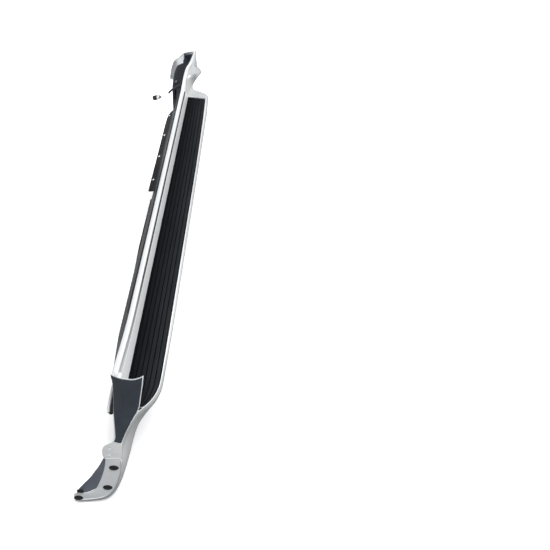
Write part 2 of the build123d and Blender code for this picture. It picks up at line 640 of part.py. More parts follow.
# ================================================================ mounting saddles
SADDLE_Z = -39.2        # underside of the plate
SADDLE_T = 4.1
LIP_Z = -41.6
LIP_H = 2.6
LIP_OFFSET = 46.0       # lip centre from the saddle centre

saddles = {}
for name, y in SADDLE_Y.items():
    with BuildPart() as saddle:
        with BuildSketch(Plane.XY.offset(SADDLE_Z)):
            with Locations((SADDLE_X, y)):
                RectangleRounded(42.0, 98.0, 7.0)
            with Locations(*[(SADDLE_X, y + offset) for offset in NUT_OFFSETS]):
                Circle(NUT_HOLE_R, mode=Mode.SUBTRACT)
        extrude(amount=SADDLE_T)
        # stiffening lips at both ends
        with BuildSketch(Plane.XY.offset(LIP_Z)):
            with Locations((SADDLE_X, y - LIP_OFFSET), (SADDLE_X, y + LIP_OFFSET)):
                Rectangle(30.0, 4.0)
        extrude(amount=LIP_H)
    saddles[name] = saddle.part

# ================================================================ rivet nuts
M8_R = 4.0

with BuildPart() as rivet_nuts:
    # flanges
    with BuildSketch(Plane.XY.offset(-40.5)):
        with Locations(*NUT_POINTS):
            Circle(7.4)
    extrude(amount=1.2)
    # barrels
    with BuildSketch(Plane.XY.offset(-39.4)):
        with Locations(*NUT_POINTS):
            Circle(5.45)
    extrude(amount=15.0)
    # bores
    with BuildSketch(Plane.XY.offset(-42.0)):
        with Locations(*NUT_POINTS):
            Circle(M8_R)
    extrude(amount=20.0, mode=Mode.SUBTRACT)

# ================================================================ rubber isolators, deck to beam
ISOLATOR_POINTS = [(SADDLE_X, y) for y in (-500.0, -250.0, 0.0, 250.0, 500.0)]

with BuildPart() as beam_isolators:
    with BuildSketch(Plane.XY.offset(-9.95)):
        with Locations(*ISOLATOR_POINTS):
            RectangleRounded(42.0, 60.0, 5.0)
    extrude(amount=2.9)

# ================================================================ cross ribs
# X, Z
CROSS_RIB = [(-10.0, -7.6), (86.0, -7.6), (84.0, -15.0), (63.0, -35.0), (40.0, -46.0),
             (8.0, -52.4), (-22.0, -51.0), (-39.0, -44.0), (-45.0, -37.4), (-72.0, -37.2),
             (-62.0, -19.5), (-43.0, 2.5), (-12.0, 2.5)]
CROSS_RIB_Y = (-330.0, -150.0, 130.0, 340.0)
CROSS_RIB_T = 3.0

with BuildPart() as cross_ribs:
    for y in CROSS_RIB_Y:
        with BuildSketch(y_plane(y + CROSS_RIB_T / 2)):
            with BuildLine():
                Polyline(*CROSS_RIB, close=True)
            make_face()
            # passage for the beam, then a round hole inboard of it
            with Locations((SADDLE_X, -20.0)):
                Rectangle(BEAM_W + 1.0, 31.2, mode=Mode.SUBTRACT)
            with Locations((-30.0, -20.0)):
                Circle(11.0, mode=Mode.SUBTRACT)
        extrude(amount=CROSS_RIB_T)

# ================================================================ ridge seal: bulb and its foot
with BuildPart() as ridge_seal:
    with BuildSketch(y_plane(640.0)):
        with Locations((-22.5, 38.6)):
            Circle(2.3)
        with Locations((-23.6, 35.9)):
            Rectangle(1.6, 3.2)
    extrude(amount=1160.0)

# ================================================================ oval arch plugs
PLUG_GAP = 0.3
PLUG_PLANE = ARCH_PLANE.offset(0.05)

with BuildPart() as arch_plugs:
    # tapered caps
    with BuildSketch(PLUG_PLANE):
        with Locations(*OVAL_POINTS):
            Ellipse(14.4, 8.0)
    extrude(amount=1.6, taper=25)
    # bodies inside the openings
    with BuildSketch(PLUG_PLANE):
        with Locations(*OVAL_POINTS):
            Ellipse(OVAL_HALF_LENGTH - PLUG_GAP, OVAL_HALF_WIDTH - PLUG_GAP)
    extrude(amount=-7.0)

# ================================================================ liners at the mudguard end
LINING_T = 2.0
# liner on the -Y face of the arch blade, set in from both edges
arch_liner = trimmed(strip(BLADE[:-1], LINING_T, offset=0.1, inset=3.0), outer_shell.part)

# backing along the inner edge of the arch flange: (upper inboard, lower outboard) edge points
BACKING = [((-60.0, -915.0, -63.0), (-54.0, -918.5, -66.5)),
           ((-78.0, -929.0, -81.0), (-63.5, -934.5, -87.0)),
           ((-98.0, -944.0, -96.0), (-76.0, -949.0, -104.0)),
           ((-118.0, -956.5, -111.0), (-93.0, -966.0, -124.5)),
           ((-140.5, -969.5, -123.0), (-113.0, -979.5, -141.5)),
           ((-157.5, -980.5, -131.0), (-148.0, -985.5, -149.0))]
guard_backing = trimmed(strip(BACKING, LINING_T, sag=3.0), outer_shell.part)

# ================================================================ cup liner at the closed end
# X, Y of the thin upright wall
CUP_LINER = [(-46.5, 1017.5), (-44.0, 1017.5), (-36.0, 960.0), (-36.5, 926.5),
             (-39.0, 926.5), (-38.6, 960.0)]
cup_liner = plate(Plane.XY.offset(-38.0), CUP_LINER, 88.0)

# ================================================================ cable leaving the ridge
CABLE_Y = 722.5
SLEEVE_R = 4.2
WIRE_R = 1.8
PLUG_Z = 3.0
# X, Z
SLEEVE_PATH = [(-23.0, 40.4), (-36.0, 40.6), (-52.0, 37.0), (-70.0, 30.6), (-86.0, 22.6),
               (-97.0, 15.6)]
WIRE_PATH = [(-97.4, 15.4), (-110.0, 8.6), (-128.0, 4.0), (-146.5, PLUG_Z)]

with BuildPart() as cable_tail:
    with BuildLine() as sleeve_line:
        Spline(*[(x, CABLE_Y, z) for (x, z) in SLEEVE_PATH])
    with BuildSketch(Plane(origin=sleeve_line.line @ 0, z_dir=sleeve_line.line % 0)):
        Circle(SLEEVE_R)
    sweep(path=sleeve_line.line)

# plug on the end of the cable: body, collar and the bare length of wire
with BuildPart() as cable_plug:
    with Locations((-167.0, CABLE_Y, PLUG_Z)):
        Box(34.0, 20.0, 16.0)
    fillet(cable_plug.edges().filter_by(Axis.X), radius=2.0)
    with Locations((-148.0, CABLE_Y, PLUG_Z)):
        Box(4.4, 14.0, 11.0)
    with BuildLine() as wire_line:
        Spline(*[(x, CABLE_Y, z) for (x, z) in WIRE_PATH])
    with BuildSketch(Plane(origin=wire_line.line @ 0, z_dir=wire_line.line % 0)):
        Circle(WIRE_R)
    sweep(path=wire_line.line)

# ================================================================ corner tab near the arch blade
TAB_Z = -38.0
# X, Y
TAB_PLATE = [(-46.0, -716.0), (-63.5, -716.0), (-65.0, -735.0), (-63.0, -793.0),
             (-59.0, -802.0), (-50.0, -806.0), (-44.0, -803.0)]
TAB_UPRIGHT = [(-63.5, -717.0), (-65.0, -735.0), (-63.0, -793.0), (-59.0, -802.0),
               (-54.0, -798.0), (-56.6, -790.0), (-58.6, -735.0), (-57.2, -717.0)]

with BuildPart() as corner_tab:
    with BuildSketch(Plane.XY.offset(TAB_Z)):
        with BuildLine():
            Polyline(*TAB_PLATE, close=True)
        make_face()
    extrude(amount=2.0)
    # upright strip along its inboard side
    with BuildSketch(Plane.XY.offset(TAB_Z)):
        with BuildLine():
            Polyline(*TAB_UPRIGHT, close=True)
        make_face()
    extrude(amount=9.0)

# ================================================================ spring clips in the windows
CLIP_L, CLIP_W, CLIP_T = 19.0, 9.0, 0.9
CLIP_SLOT_L, CLIP_SLOT_W = 9.0, 3.6

with BuildPart() as spring_clips:
    with BuildSketch(Plane.YZ.offset(-88.6)):
        with Locations(FLANK_WINDOW):
            Rectangle(CLIP_L, CLIP_W)
            Rectangle(CLIP_SLOT_L, CLIP_SLOT_W, mode=Mode.SUBTRACT)
    extrude(amount=CLIP_T)
    with BuildSketch(Plane.XY.offset(37.4)):
        with Locations(TOP_WINDOW):
            Rectangle(CLIP_W, CLIP_L)
            Rectangle(CLIP_SLOT_W, CLIP_SLOT_L, mode=Mode.SUBTRACT)
    extrude(amount=CLIP_T)

# ================================================================ pad retainers under the deck
RETAINER_PITCH = 190.0
RETAINER_POINTS = [(82.0, -620.0 + RETAINER_PITCH * i) for i in range(7)]

with BuildPart() as pad_retainers:
    with BuildSketch(Plane.XY.offset(-8.4)):
        with Locations(*RETAINER_POINTS):
            Circle(5.0)
            Circle(2.0, mode=Mode.SUBTRACT)
    extrude(amount=1.3)

# ================================================================ move to the origin and write
pieces = {
    "outer_shell": outer_shell.part,
    "inner_panel": inner_panel.part,
    "under_cover": under_cover.part,
    "step_pad": step_pad.part,
    "sill_flange": sill_flange,
    "sill_strip": sill_strip,
    "flange_screws": flange_screws.part,
    "sheet_nuts": sheet_nuts.part,
    "push_pins": push_pins.part,
    "support_beam": support_beam.part,
    **saddles,
    "rivet_nuts": rivet_nuts.part,
    "beam_isolators": beam_isolators.part,
    "cross_ribs": cross_ribs.part,
    "ridge_seal": ridge_seal.part,
    "arch_plugs": arch_plugs.part,
    "arch_liner": arch_liner,
    "guard_backing": guard_backing,
    "cup_liner": cup_liner,
    "cable_tail": cable_tail.part,
    "cable_plug": cable_plug.part,
    "corner_tab": corner_tab.part,
    "spring_clips": spring_clips.part,
    "pad_retainers": pad_retainers.part,
}
for name, piece in pieces.items():
    piece.move(TO_ORIGIN)
    piece.label = name
    export_step(piece, "parts/" + name + ".step")
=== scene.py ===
# Looks of a side step about 2 m long that runs along Y, with its wheel-arch end at -Y.
# All shapes are in millimetres, with the tread face at Z = 0, its inner edge at X = 0 and
# +X pointing outward. SHIFT and MM carry them into the frame, which is in metres.
import math
from contextlib import contextmanager

import bmesh
import bpy
import numpy as np
from mathutils import Matrix, Vector

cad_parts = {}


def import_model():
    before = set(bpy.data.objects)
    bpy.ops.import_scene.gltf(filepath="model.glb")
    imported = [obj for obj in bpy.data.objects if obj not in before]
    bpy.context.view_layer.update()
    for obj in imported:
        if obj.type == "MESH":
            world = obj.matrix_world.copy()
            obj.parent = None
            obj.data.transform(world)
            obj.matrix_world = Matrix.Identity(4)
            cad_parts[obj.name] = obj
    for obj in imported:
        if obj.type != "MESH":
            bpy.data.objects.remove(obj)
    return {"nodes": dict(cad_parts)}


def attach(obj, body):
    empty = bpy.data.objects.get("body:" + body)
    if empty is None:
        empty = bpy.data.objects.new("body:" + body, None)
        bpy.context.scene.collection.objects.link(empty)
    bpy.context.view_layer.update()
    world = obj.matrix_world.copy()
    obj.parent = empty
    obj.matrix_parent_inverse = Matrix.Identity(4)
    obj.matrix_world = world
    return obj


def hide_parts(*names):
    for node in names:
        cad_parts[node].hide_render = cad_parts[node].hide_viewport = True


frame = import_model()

MM = 0.001
SHIFT = np.array([-33.0, 0.0, 39.5])
DECK = -4.0            # underside of the step pad
RIDGE_TOP = 43.0       # height of the upstand along the tread
CABLE_Y = 722.5
FLANGE_Z = -41.75      # middle of the two sill plates


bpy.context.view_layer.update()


# ---------------------------------------------------------------- curves and numbers
def floats(values):
    return np.asarray(values, float)


def up(z):
    return np.array([0.0, 0.0, z])


def unit(v):
    return v / np.maximum(np.linalg.norm(v, axis=-1, keepdims=True), 1e-9)


def smoothstep(low, high, x):
    t = np.clip((floats(x) - low) / (high - low), 0, 1)
    return t * t * (3 - 2 * t)


def run_lengths(points):
    """Distance along a path at each of its points."""
    return np.concatenate([[0], np.cumsum(np.linalg.norm(np.diff(points, axis=0), axis=1))])


def pchip(xs, ys, x):
    """Monotone cubic through the rows of ys at the rising stations xs."""
    xs, ys, x = floats(xs), floats(ys), np.atleast_1d(floats(x))
    gap = np.diff(xs)[:, None]
    slope = np.diff(ys, axis=0) / gap
    before, after = slope[:-1], slope[1:]
    w1 = 2 * gap[1:] + gap[:-1]
    w2 = gap[1:] + 2 * gap[:-1]
    with np.errstate(divide="ignore", invalid="ignore"):
        mean = (w1 + w2) / (w1 / before + w2 / after)
    tangent = np.zeros_like(ys)
    tangent[1:-1] = np.where(before * after > 0, mean, 0.0)
    tangent[0], tangent[-1] = slope[0], slope[-1]
    i = np.clip(np.searchsorted(xs, x, side="right") - 1, 0, len(xs) - 2)
    h = gap[i]
    t = np.clip((x[:, None] - xs[i][:, None]) / h, 0, 1)
    return ((2 * t**3 - 3 * t**2 + 1) * ys[i] + (t**3 - 2 * t**2 + t) * h * tangent[i]
            + (-2 * t**3 + 3 * t**2) * ys[i + 1] + (t**3 - t**2) * h * tangent[i + 1])


def table_at(table, y):
    """Row of a table at y; its first column holds the stations."""
    return pchip(table[:, 0], table[:, 1:], y)[0]


def section_at(sections, y):
    """Outline at y, blended between the outlines of a {y: points} table."""
    keys = sorted(sections)
    rows = floats([sections[k] for k in keys])
    return pchip(keys, rows.reshape(len(keys), -1), y)[0].reshape(rows.shape[1:])


def catmull(points, count):
    """Centripetal curve through the points, count samples per span."""
    P = floats(points)
    Q = np.vstack([2 * P[0] - P[1], P, 2 * P[-1] - P[-2]])
    out = []
    for p in zip(Q[:-3], Q[1:-2], Q[2:-1], Q[3:]):
        knots = [0.0]
        for a, b in zip(p, p[1:]):
            knots.append(knots[-1] + max(np.linalg.norm(b - a), 1e-9) ** 0.5)

        def blend(a, b, i, j, t):
            low, high = knots[i], knots[j]
            return (high - t) / (high - low) * a + (t - low) / (high - low) * b

        for t in np.linspace(knots[1], knots[2], count, endpoint=False):
            a1, a2, a3 = (blend(p[i], p[i + 1], i, i + 1, t) for i in range(3))
            b1 = blend(a1, a2, 0, 2, t)
            b2 = blend(a2, a3, 1, 3, t)
            out.append(blend(b1, b2, 1, 2, t))
    out.append(P[-1])
    return np.array(out)


def round_path(points, radius, steps=4, closed=False):
    """Rounds each corner with a quadratic curve. radius is one value or one per corner."""
    P = floats(points)
    radius = np.broadcast_to(floats(radius), len(P))
    out = []
    for i, b in enumerate(P):
        if not closed and i in (0, len(P) - 1):
            out.append(b)
            continue
        a, c = P[i - 1], P[(i + 1) % len(P)]
        len_a, len_c = np.linalg.norm(a - b), np.linalg.norm(c - b)
        reach = min(radius[i], 0.46 * len_a, 0.46 * len_c)
        start = b + (a - b) / max(len_a, 1e-9) * reach
        end = b + (c - b) / max(len_c, 1e-9) * reach
        for t in np.linspace(0, 1, steps + 1):
            out.append((1 - t) ** 2 * start + 2 * t * (1 - t) * b + t * t * end)
    return np.array(out)


def stations(start, end, fine):
    """Stations 30 mm apart, closer inside the (low, high, step) ranges of fine."""
    out = [start]
    while out[-1] < end - 1e-6:
        y = out[-1]
        step = 30.0
        for low, high, fine_step in fine:
            if low <= y < high:
                step = fine_step
        following = y + step
        for low, _, _ in fine:
            if y < low < following:
                following = low
        out.append(min(following, end))
    return out


def at_y(points, y):
    """(x, z) points placed at y."""
    points = floats(points)
    return np.column_stack([points[:, 0], np.full(len(points), y), points[:, 1]])


# ---------------------------------------------------------------- flat outlines
def oval(cx, cy, a, b, count=36):
    return [(cx + a * math.cos(t), cy + b * math.sin(t))
            for t in np.linspace(0, 2 * math.pi, count, endpoint=False)]


def circle(cx, cy, r, count):
    return oval(cx, cy, r, r, count)


def stadium(cx, cy, length, width, angle, count):
    half, r = (length - width) / 2, width / 2
    c, s = math.cos(math.radians(angle)), math.sin(math.radians(angle))
    out = []
    for side, start in ((1, -90), (-1, 90)):
        for turn in np.linspace(0, 180, count):
            t = math.radians(start + turn)
            x, y = side * half + r * math.cos(t), r * math.sin(t)
            out.append((cx + x * c - y * s, cy + x * s + y * c))
    return out


def box_loop(cx, cy, width, height):
    w, h = width / 2, height / 2
    return [(cx - w, cy - h), (cx + w, cy - h), (cx + w, cy + h), (cx - w, cy + h)]


def round_box(cx, cy, width, height, r):
    return round_path(box_loop(cx, cy, width, height), r, 5, closed=True)


# ---------------------------------------------------------------- meshes
def link(name, data):
    ob = bpy.data.objects.new(name, data)
    bpy.context.scene.collection.objects.link(ob)
    return ob


@contextmanager
def editing(mesh):
    """Opens a mesh for editing and turns its faces outward at the end."""
    bm = bmesh.new()
    bm.from_mesh(mesh)
    yield bm
    bmesh.ops.recalc_face_normals(bm, faces=bm.faces)
    bm.to_mesh(mesh)
    bm.free()


def build(name, points, faces, materials, face_slots=None):
    mesh = bpy.data.meshes.new(name)
    mesh.from_pydata(((floats(points) + SHIFT) * MM).tolist(), [], faces)
    for m in materials:
        mesh.materials.append(m)
    if face_slots is not None:
        mesh.polygons.foreach_set("material_index", np.array(face_slots, dtype=np.int32))
    mesh.validate(clean_customdata=False)
    mesh.update()
    ob = link(name, mesh)
    with editing(mesh) as bm:
        bmesh.ops.triangulate(bm, faces=[f for f in bm.faces if len(f.verts) > 4])
    return ob


def apply_modifiers(ob):
    graph = bpy.context.evaluated_depsgraph_get()
    mesh = bpy.data.meshes.new_from_object(ob.evaluated_get(graph), depsgraph=graph)
    old = ob.data
    ob.modifiers.clear()
    ob.data = mesh
    bpy.data.meshes.remove(old)


def round_edges(ob, width, segments=2, angle=50):
    m = ob.modifiers.new("bevel", "BEVEL")
    m.width = width * MM
    m.segments = segments
    m.limit_method = "ANGLE"
    m.angle_limit = math.radians(angle)
    m.use_clamp_overlap = True
    apply_modifiers(ob)


def cut(ob, cutters):
    for cutter in cutters:
        m = ob.modifiers.new("cut", "BOOLEAN")
        m.operation = "DIFFERENCE"
        m.object = cutter
        m.solver = "EXACT"
    apply_modifiers(ob)
    for cutter in cutters:
        bpy.data.objects.remove(cutter)


def grid_faces(rows, cols, first=0, wrap=False, flip=False):
    faces = []
    for i in range(rows - 1):
        for j in range(cols if wrap else cols - 1):
            a = first + i * cols + j
            b = first + i * cols + (j + 1) % cols
            c, d = b + cols, a + cols
            faces.append((a, d, c, b) if flip else (a, b, c, d))
    return faces


def grid_normals(grid):
    return unit(np.cross(np.gradient(grid, axis=0), np.gradient(grid, axis=1)))


def behind(grid, thickness, toward):
    """Copy of a grid moved along its normals, to the side that toward points to."""
    normals = grid_normals(grid)
    side = 1 if np.mean(np.sum(normals * toward, axis=2)) > 0 else -1
    return grid + normals * thickness * side


def sheet(name, front, back, materials):
    """Closed thin wall between two matching grids."""
    rows, cols, _ = front.shape
    n = rows * cols
    faces = grid_faces(rows, cols) + grid_faces(rows, cols, n, flip=True)
    rim = [j for j in range(cols)]
    rim += [i * cols + cols - 1 for i in range(1, rows)]
    rim += [(rows - 1) * cols + j for j in range(cols - 2, -1, -1)]
    rim += [i * cols for i in range(rows - 2, 0, -1)]
    for a, b in zip(rim, rim[1:] + rim[:1]):
        faces.append((b, a, a + n, b + n))
    points = np.vstack([front.reshape(-1, 3), back.reshape(-1, 3)])
    return build(name, points, faces, materials)


def loft(name, rings, materials, caps=True):
    """Closed outlines joined into a solid."""
    rings = floats(rings)
    rows, cols, _ = rings.shape
    faces = grid_faces(rows, cols, wrap=True)
    if caps:
        faces.append(tuple(range(cols)))
        faces.append(tuple(range((rows - 1) * cols, rows * cols)))
    return build(name, rings.reshape(-1, 3), faces, materials)


def prism(loop, low, high, place=lambda *p: p):
    """Cutter: a loop drawn out from low to high."""
    return loft("cutter", [[place(u, v, w) for u, v in loop] for w in (low, high)], [])


def tube(name, path, profile, material, closed=False):
    """Profile in (side, up) axes swept along a path."""
    P = floats(path)
    n = len(P)
    rings = []
    for i in range(n):
        ahead = P[(i + 1) % n] if closed else P[min(i + 1, n - 1)]
        tangent = unit(ahead - P[i - 1 if closed else max(i - 1, 0)])
        side = unit(np.cross(tangent, up(1.0)))
        rise = np.cross(side, tangent)
        rings.append([P[i] + side * a + rise * b for a, b in profile])
    if not closed:
        return loft(name, rings, [material])
    ob = loft(name, rings + rings[:1], [material], caps=False)
    with editing(ob.data) as bm:
        bmesh.ops.remove_doubles(bm, verts=bm.verts, dist=1e-7)
    return ob


def round_tube(name, path, radii, material, count=20):
    """Round section with one radius per path point."""
    rings = []
    for i, (p, r) in enumerate(zip(path, radii)):
        tangent = unit(path[min(i + 1, len(path) - 1)] - path[max(i - 1, 0)])
        a = unit(np.cross(tangent, floats([0, 1, 0])))
        b = np.cross(a, tangent)
        rings.append([p + (a * c + b * s) * r for c, s in circle(0, 0, 1, count)])
    return loft(name, rings, [material])


def level(z):
    """Placement of a plate lying flat with its middle at height z."""
    return lambda u, v, w: (u, v, z + w)


def plate(name, loops, thickness, material, edge, place, steps=2):
    """Plate with rounded edges: the first loop is the outline, the others are openings."""
    curve = bpy.data.curves.new(name, "CURVE")
    curve.dimensions = "2D"
    curve.fill_mode = "BOTH"
    curve.extrude = (thickness / 2 - edge) * MM
    curve.bevel_depth = edge * MM
    curve.bevel_resolution = steps
    curve.offset = -edge * MM
    for loop in loops:
        spline = curve.splines.new("POLY")
        spline.points.add(len(loop) - 1)
        spline.use_cyclic_u = True
        for point, (x, y) in zip(spline.points, loop):
            point.co = (x * MM, y * MM, 0, 1)
    flat = link(name + "_c", curve)
    graph = bpy.context.evaluated_depsgraph_get()
    mesh = bpy.data.meshes.new_from_object(flat.evaluated_get(graph), depsgraph=graph)
    bpy.data.objects.remove(flat)
    ob = link(name, mesh)
    mesh.materials.clear()
    mesh.materials.append(material)
    with editing(mesh) as bm:
        bmesh.ops.remove_doubles(bm, verts=bm.verts, dist=2e-6)
        for v in bm.verts:
            v.co = (Vector(place(*(c / MM for c in v.co))) + Vector(SHIFT)) * MM
    return ob


def join(name, parts):
    """Rebuilds the parts as one plain mesh that shares their materials."""
    materials, points, faces, slots = [], [], [], []
    for part in parts:
        mesh = part.data
        for m in mesh.materials:
            if m not in materials:
                materials.append(m)
        slot_of = [materials.index(m) for m in mesh.materials]
        first = len(points)
        points += [tuple(v.co) for v in mesh.vertices]
        for p in mesh.polygons:
            faces.append([first + i for i in p.vertices])
            slots.append(slot_of[p.material_index])
    joined = bpy.data.meshes.new(name)
    joined.from_pydata(points, [], faces)
    for m in materials:
        joined.materials.append(m)
    joined.polygons.foreach_set("material_index", np.array(slots, dtype=np.int32))
    joined.update()
    ob = link(name, joined)
    for part in parts:
        old = part.data
        bpy.data.objects.remove(part)
        bpy.data.meshes.remove(old)
    return ob


def hand_over(ob, node, sharp_angle=38):
    """Shades a finished piece and gives it to the frame in place of a CAD node."""
    mesh = ob.data
    mesh.polygons.foreach_set("use_smooth", np.ones(len(mesh.polygons), dtype=bool))
    mesh.set_sharp_from_angle(angle=math.radians(sharp_angle))
    mesh.update()
    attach(ob, "root")
    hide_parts(node)


# ---------------------------------------------------------------- shader nodes
def new_material(name, **values):
    """Material with one Principled shader; underscores in value names stand for spaces."""
    material = bpy.data.materials.new(name)
    material.use_nodes = True
    tree = material.node_tree
    tree.nodes.clear()
    output = tree.nodes.new("ShaderNodeOutputMaterial")
    surface = tree.nodes.new("ShaderNodeBsdfPrincipled")
    tree.links.new(surface.outputs[0], output.inputs[0])
    for key, value in values.items():
        surface.inputs[key.replace("_", " ")].default_value = value
    return material, tree, surface.inputs


def feed(tree, socket, value):
    """Links a socket to another one, or sets it to a number or colour."""
    if isinstance(value, bpy.types.NodeSocket):
        tree.links.new(value, socket)
    else:
        socket.default_value = (*value, 1) if isinstance(value, tuple) else value


def coordinate(tree, axis, kind="Object"):
    source = tree.nodes.new("ShaderNodeTexCoord")
    split = tree.nodes.new("ShaderNodeSeparateXYZ")
    tree.links.new(source.outputs[kind], split.inputs[0])
    return split.outputs["XYZ".index(axis)]


def noise(tree, scale, detail, rough=0.5, stretch=(1, 1, 1)):
    source = tree.nodes.new("ShaderNodeTexCoord")
    mapping = tree.nodes.new("ShaderNodeMapping")
    mapping.inputs["Scale"].default_value = stretch
    node = tree.nodes.new("ShaderNodeTexNoise")
    node.inputs["Scale"].default_value = scale
    node.inputs["Detail"].default_value = detail
    node.inputs["Roughness"].default_value = rough
    tree.links.new(source.outputs["Object"], mapping.inputs[0])
    tree.links.new(mapping.outputs[0], node.inputs["Vector"])
    return node.outputs[0]


def ramp(tree, source, *stops):
    """Colour ramp from (position, colour) stops."""
    node = tree.nodes.new("ShaderNodeValToRGB")
    elements = node.color_ramp.elements
    for element, (position, colour) in ((elements[0], stops[0]), (elements[1], stops[-1])):
        element.position = position
        element.color = (*colour, 1)
    for position, colour in stops[1:-1]:
        elements.new(position).color = (*colour, 1)
    tree.links.new(source, node.inputs[0])
    return node.outputs[0]


def remap(tree, source, span, to):
    node = tree.nodes.new("ShaderNodeMapRange")
    for i, value in enumerate((*span, *to), start=1):
        node.inputs[i].default_value = value
    tree.links.new(source, node.inputs[0])
    return node.outputs[0]


def mix(tree, factor, a, b):
    node = tree.nodes.new("ShaderNodeMix")
    node.data_type = "RGBA"
    for i, value in ((0, factor), (6, a), (7, b)):
        feed(tree, node.inputs[i], value)
    return node.outputs[2]


def product(tree, a, b):
    node = tree.nodes.new("ShaderNodeMath")
    node.operation = "MULTIPLY"
    feed(tree, node.inputs[0], a)
    feed(tree, node.inputs[1], b)
    return node.outputs[0]


def bump(tree, inputs, *layers):
    """Stacked bumps from (height, strength, distance in metres) layers."""
    normal = None
    for height, strength, distance in layers:
        node = tree.nodes.new("ShaderNodeBump")
        node.inputs["Strength"].default_value = strength
        node.inputs["Distance"].default_value = distance
        tree.links.new(height, node.inputs["Height"])
        if normal is not None:
            tree.links.new(normal, node.inputs["Normal"])
        normal = node.outputs[0]
    tree.links.new(normal, inputs["Normal"])


# ---------------------------------------------------------------- materials
def finish(name, colour, spread, rough, grain, relief, depth=0.0003, metallic=0.0,
           coat=(0.0, 0.1), spec=0.5, ior=1.45, stretch=(1, 1, 1), wear_and_edge_highlight=None):
    """Mottled surface. spread: colour variation; rough: (mean, variation); grain: (coarse,
    fine) noise scales; relief and depth: bump; coat: (weight, roughness); the wear and edge
    highlight argument: (colour, amount) on raised edges, rubbed wear on the dark finishes and
    a painted highlight on the white paints."""
    material, tree, inputs = new_material(
        name, Metallic=metallic, Specular_IOR_Level=spec, IOR=ior,
        Coat_Weight=coat[0], Coat_Roughness=coat[1])
    coarse = noise(tree, grain[0], 5, 0.55, stretch)
    fine = noise(tree, grain[1], 2)
    dark = tuple(max(0.0, c * (1 - spread)) for c in colour)
    light = tuple(min(1.0, c * (1 + spread)) for c in colour)
    tint = ramp(tree, coarse, (0.32, dark), (0.5, colour), (0.7, light))
    if wear_and_edge_highlight:
        geometry = tree.nodes.new("ShaderNodeNewGeometry")
        edges = remap(tree, geometry.outputs["Pointiness"], span=(0.515, 0.57), to=(0.0, wear_and_edge_highlight[1]))
        patches = noise(tree, scale=160, detail=3, rough=0.6)
        tint = mix(tree, product(tree, edges, patches), tint, wear_and_edge_highlight[0])
    tree.links.new(tint, inputs["Base Color"])
    mean, swing = rough
    roughness = remap(tree, coarse, span=(0.3, 0.7), to=(mean - swing, mean + swing))
    tree.links.new(roughness, inputs["Roughness"])
    bump(tree, inputs, (fine, relief, depth), (coarse, relief * 0.6, depth * 3))
    return material


# On the white paints the lighter colour on raised edges is a painted highlight where edges catch
# the light.
def white(name, colour, spread, rough, coat, wear_and_edge_highlight):
    return finish(name, colour, spread, rough=(rough, 0.05), grain=(9, 420), relief=0.035,
                  coat=coat, wear_and_edge_highlight=(wear_and_edge_highlight, 0.15))


# The last colour of each white paint is a painted highlight on its raised edges.
PAINT = white("white_paint", (0.80, 0.815, 0.825), spread=0.018, rough=0.30,
              coat=(0.55, 0.06), wear_and_edge_highlight=(0.90, 0.91, 0.92))
# Greyer copy of the white paint: painted shade on the rim's outer wall, the shelf, the flare and
# the lobe. On the cable plug it is the mating half's own light grey.
PAINT_SHADE_GREY = white("white_paint_shade_grey", (0.565, 0.575, 0.575), spread=0.022, rough=0.34,
                  coat=(0.35, 0.09), wear_and_edge_highlight=(0.72, 0.73, 0.74))
# Darker still: painted shade on the rim's nose.
PAINT_NOSE_SHADE = white("white_paint_nose_shade", (0.43, 0.44, 0.435), spread=0.022, rough=0.36,
                   coat=(0.25, 0.12), wear_and_edge_highlight=(0.66, 0.67, 0.68))
# White for the end pan's inner face, set lighter than the paint: painted light on a face that
# lies in shade.
PAINT_IN_LIGHTENED = finish("white_inner_painted_light", (0.90, 0.905, 0.91), spread=0.02, rough=(0.42, 0.05),
                  grain=(9, 600), relief=0.05)
PAINT_BACK = finish("unpainted_back", (0.055, 0.065, 0.078), spread=0.18, rough=(0.5, 0.08),
                    grain=(16, 1100), relief=0.12)
LINER = finish("slate_liner", (0.040, 0.052, 0.065), spread=0.22, rough=(0.36, 0.08),
               grain=(11, 1200), relief=0.09, depth=0.00025, spec=0.55,
               wear_and_edge_highlight=((0.16, 0.18, 0.2), 0.5))
# Blue-grey: on the guard backing it is lighter than the slate liner, painted light for the light
# falling on that face; it is also painted shade in the end pan's hollow, and the own colour of
# the plug collar and one wire.
BACKING = finish("backing_grey", (0.155, 0.175, 0.21), spread=0.12, rough=(0.42, 0.07),
                 grain=(15, 1000), relief=0.08, depth=0.00025)
PANEL = finish("gloss_black", (0.0150, 0.0170, 0.0215), spread=0.35, rough=(0.30, 0.09),
               grain=(7, 500), relief=0.035, depth=0.0004, spec=0.16, coat=(0.0, 0.12),
               ior=1.4, stretch=(1, 0.25, 1), wear_and_edge_highlight=((0.06, 0.065, 0.07), 0.5))
COVER = finish("grained_black", (0.018, 0.019, 0.021), spread=0.25, rough=(0.58, 0.08),
               grain=(20, 1500), relief=0.3, wear_and_edge_highlight=((0.08, 0.08, 0.085), 0.5))
FLANGE = finish("flange_grey", (0.016, 0.017, 0.019), spread=0.25, rough=(0.46, 0.07),
                grain=(18, 1300), relief=0.18, ior=1.32, wear_and_edge_highlight=((0.12, 0.125, 0.13), 0.6))
STEEL = finish("zinc_steel", (0.56, 0.57, 0.58), spread=0.10, rough=(0.34, 0.08),
               grain=(60, 1500), relief=0.12, depth=0.0002, metallic=1.0)
ALU = finish("mill_aluminium", (0.62, 0.63, 0.64), spread=0.06, rough=(0.38, 0.07),
             grain=(40, 1800), relief=0.2, depth=0.0002, metallic=1.0, stretch=(14, 0.4, 14))
ECOAT = finish("black_ecoat", (0.014, 0.014, 0.016), spread=0.2, rough=(0.42, 0.07),
               grain=(30, 900), relief=0.12, coat=(0.2, 0.3), wear_and_edge_highlight=((0.25, 0.24, 0.23), 0.4))
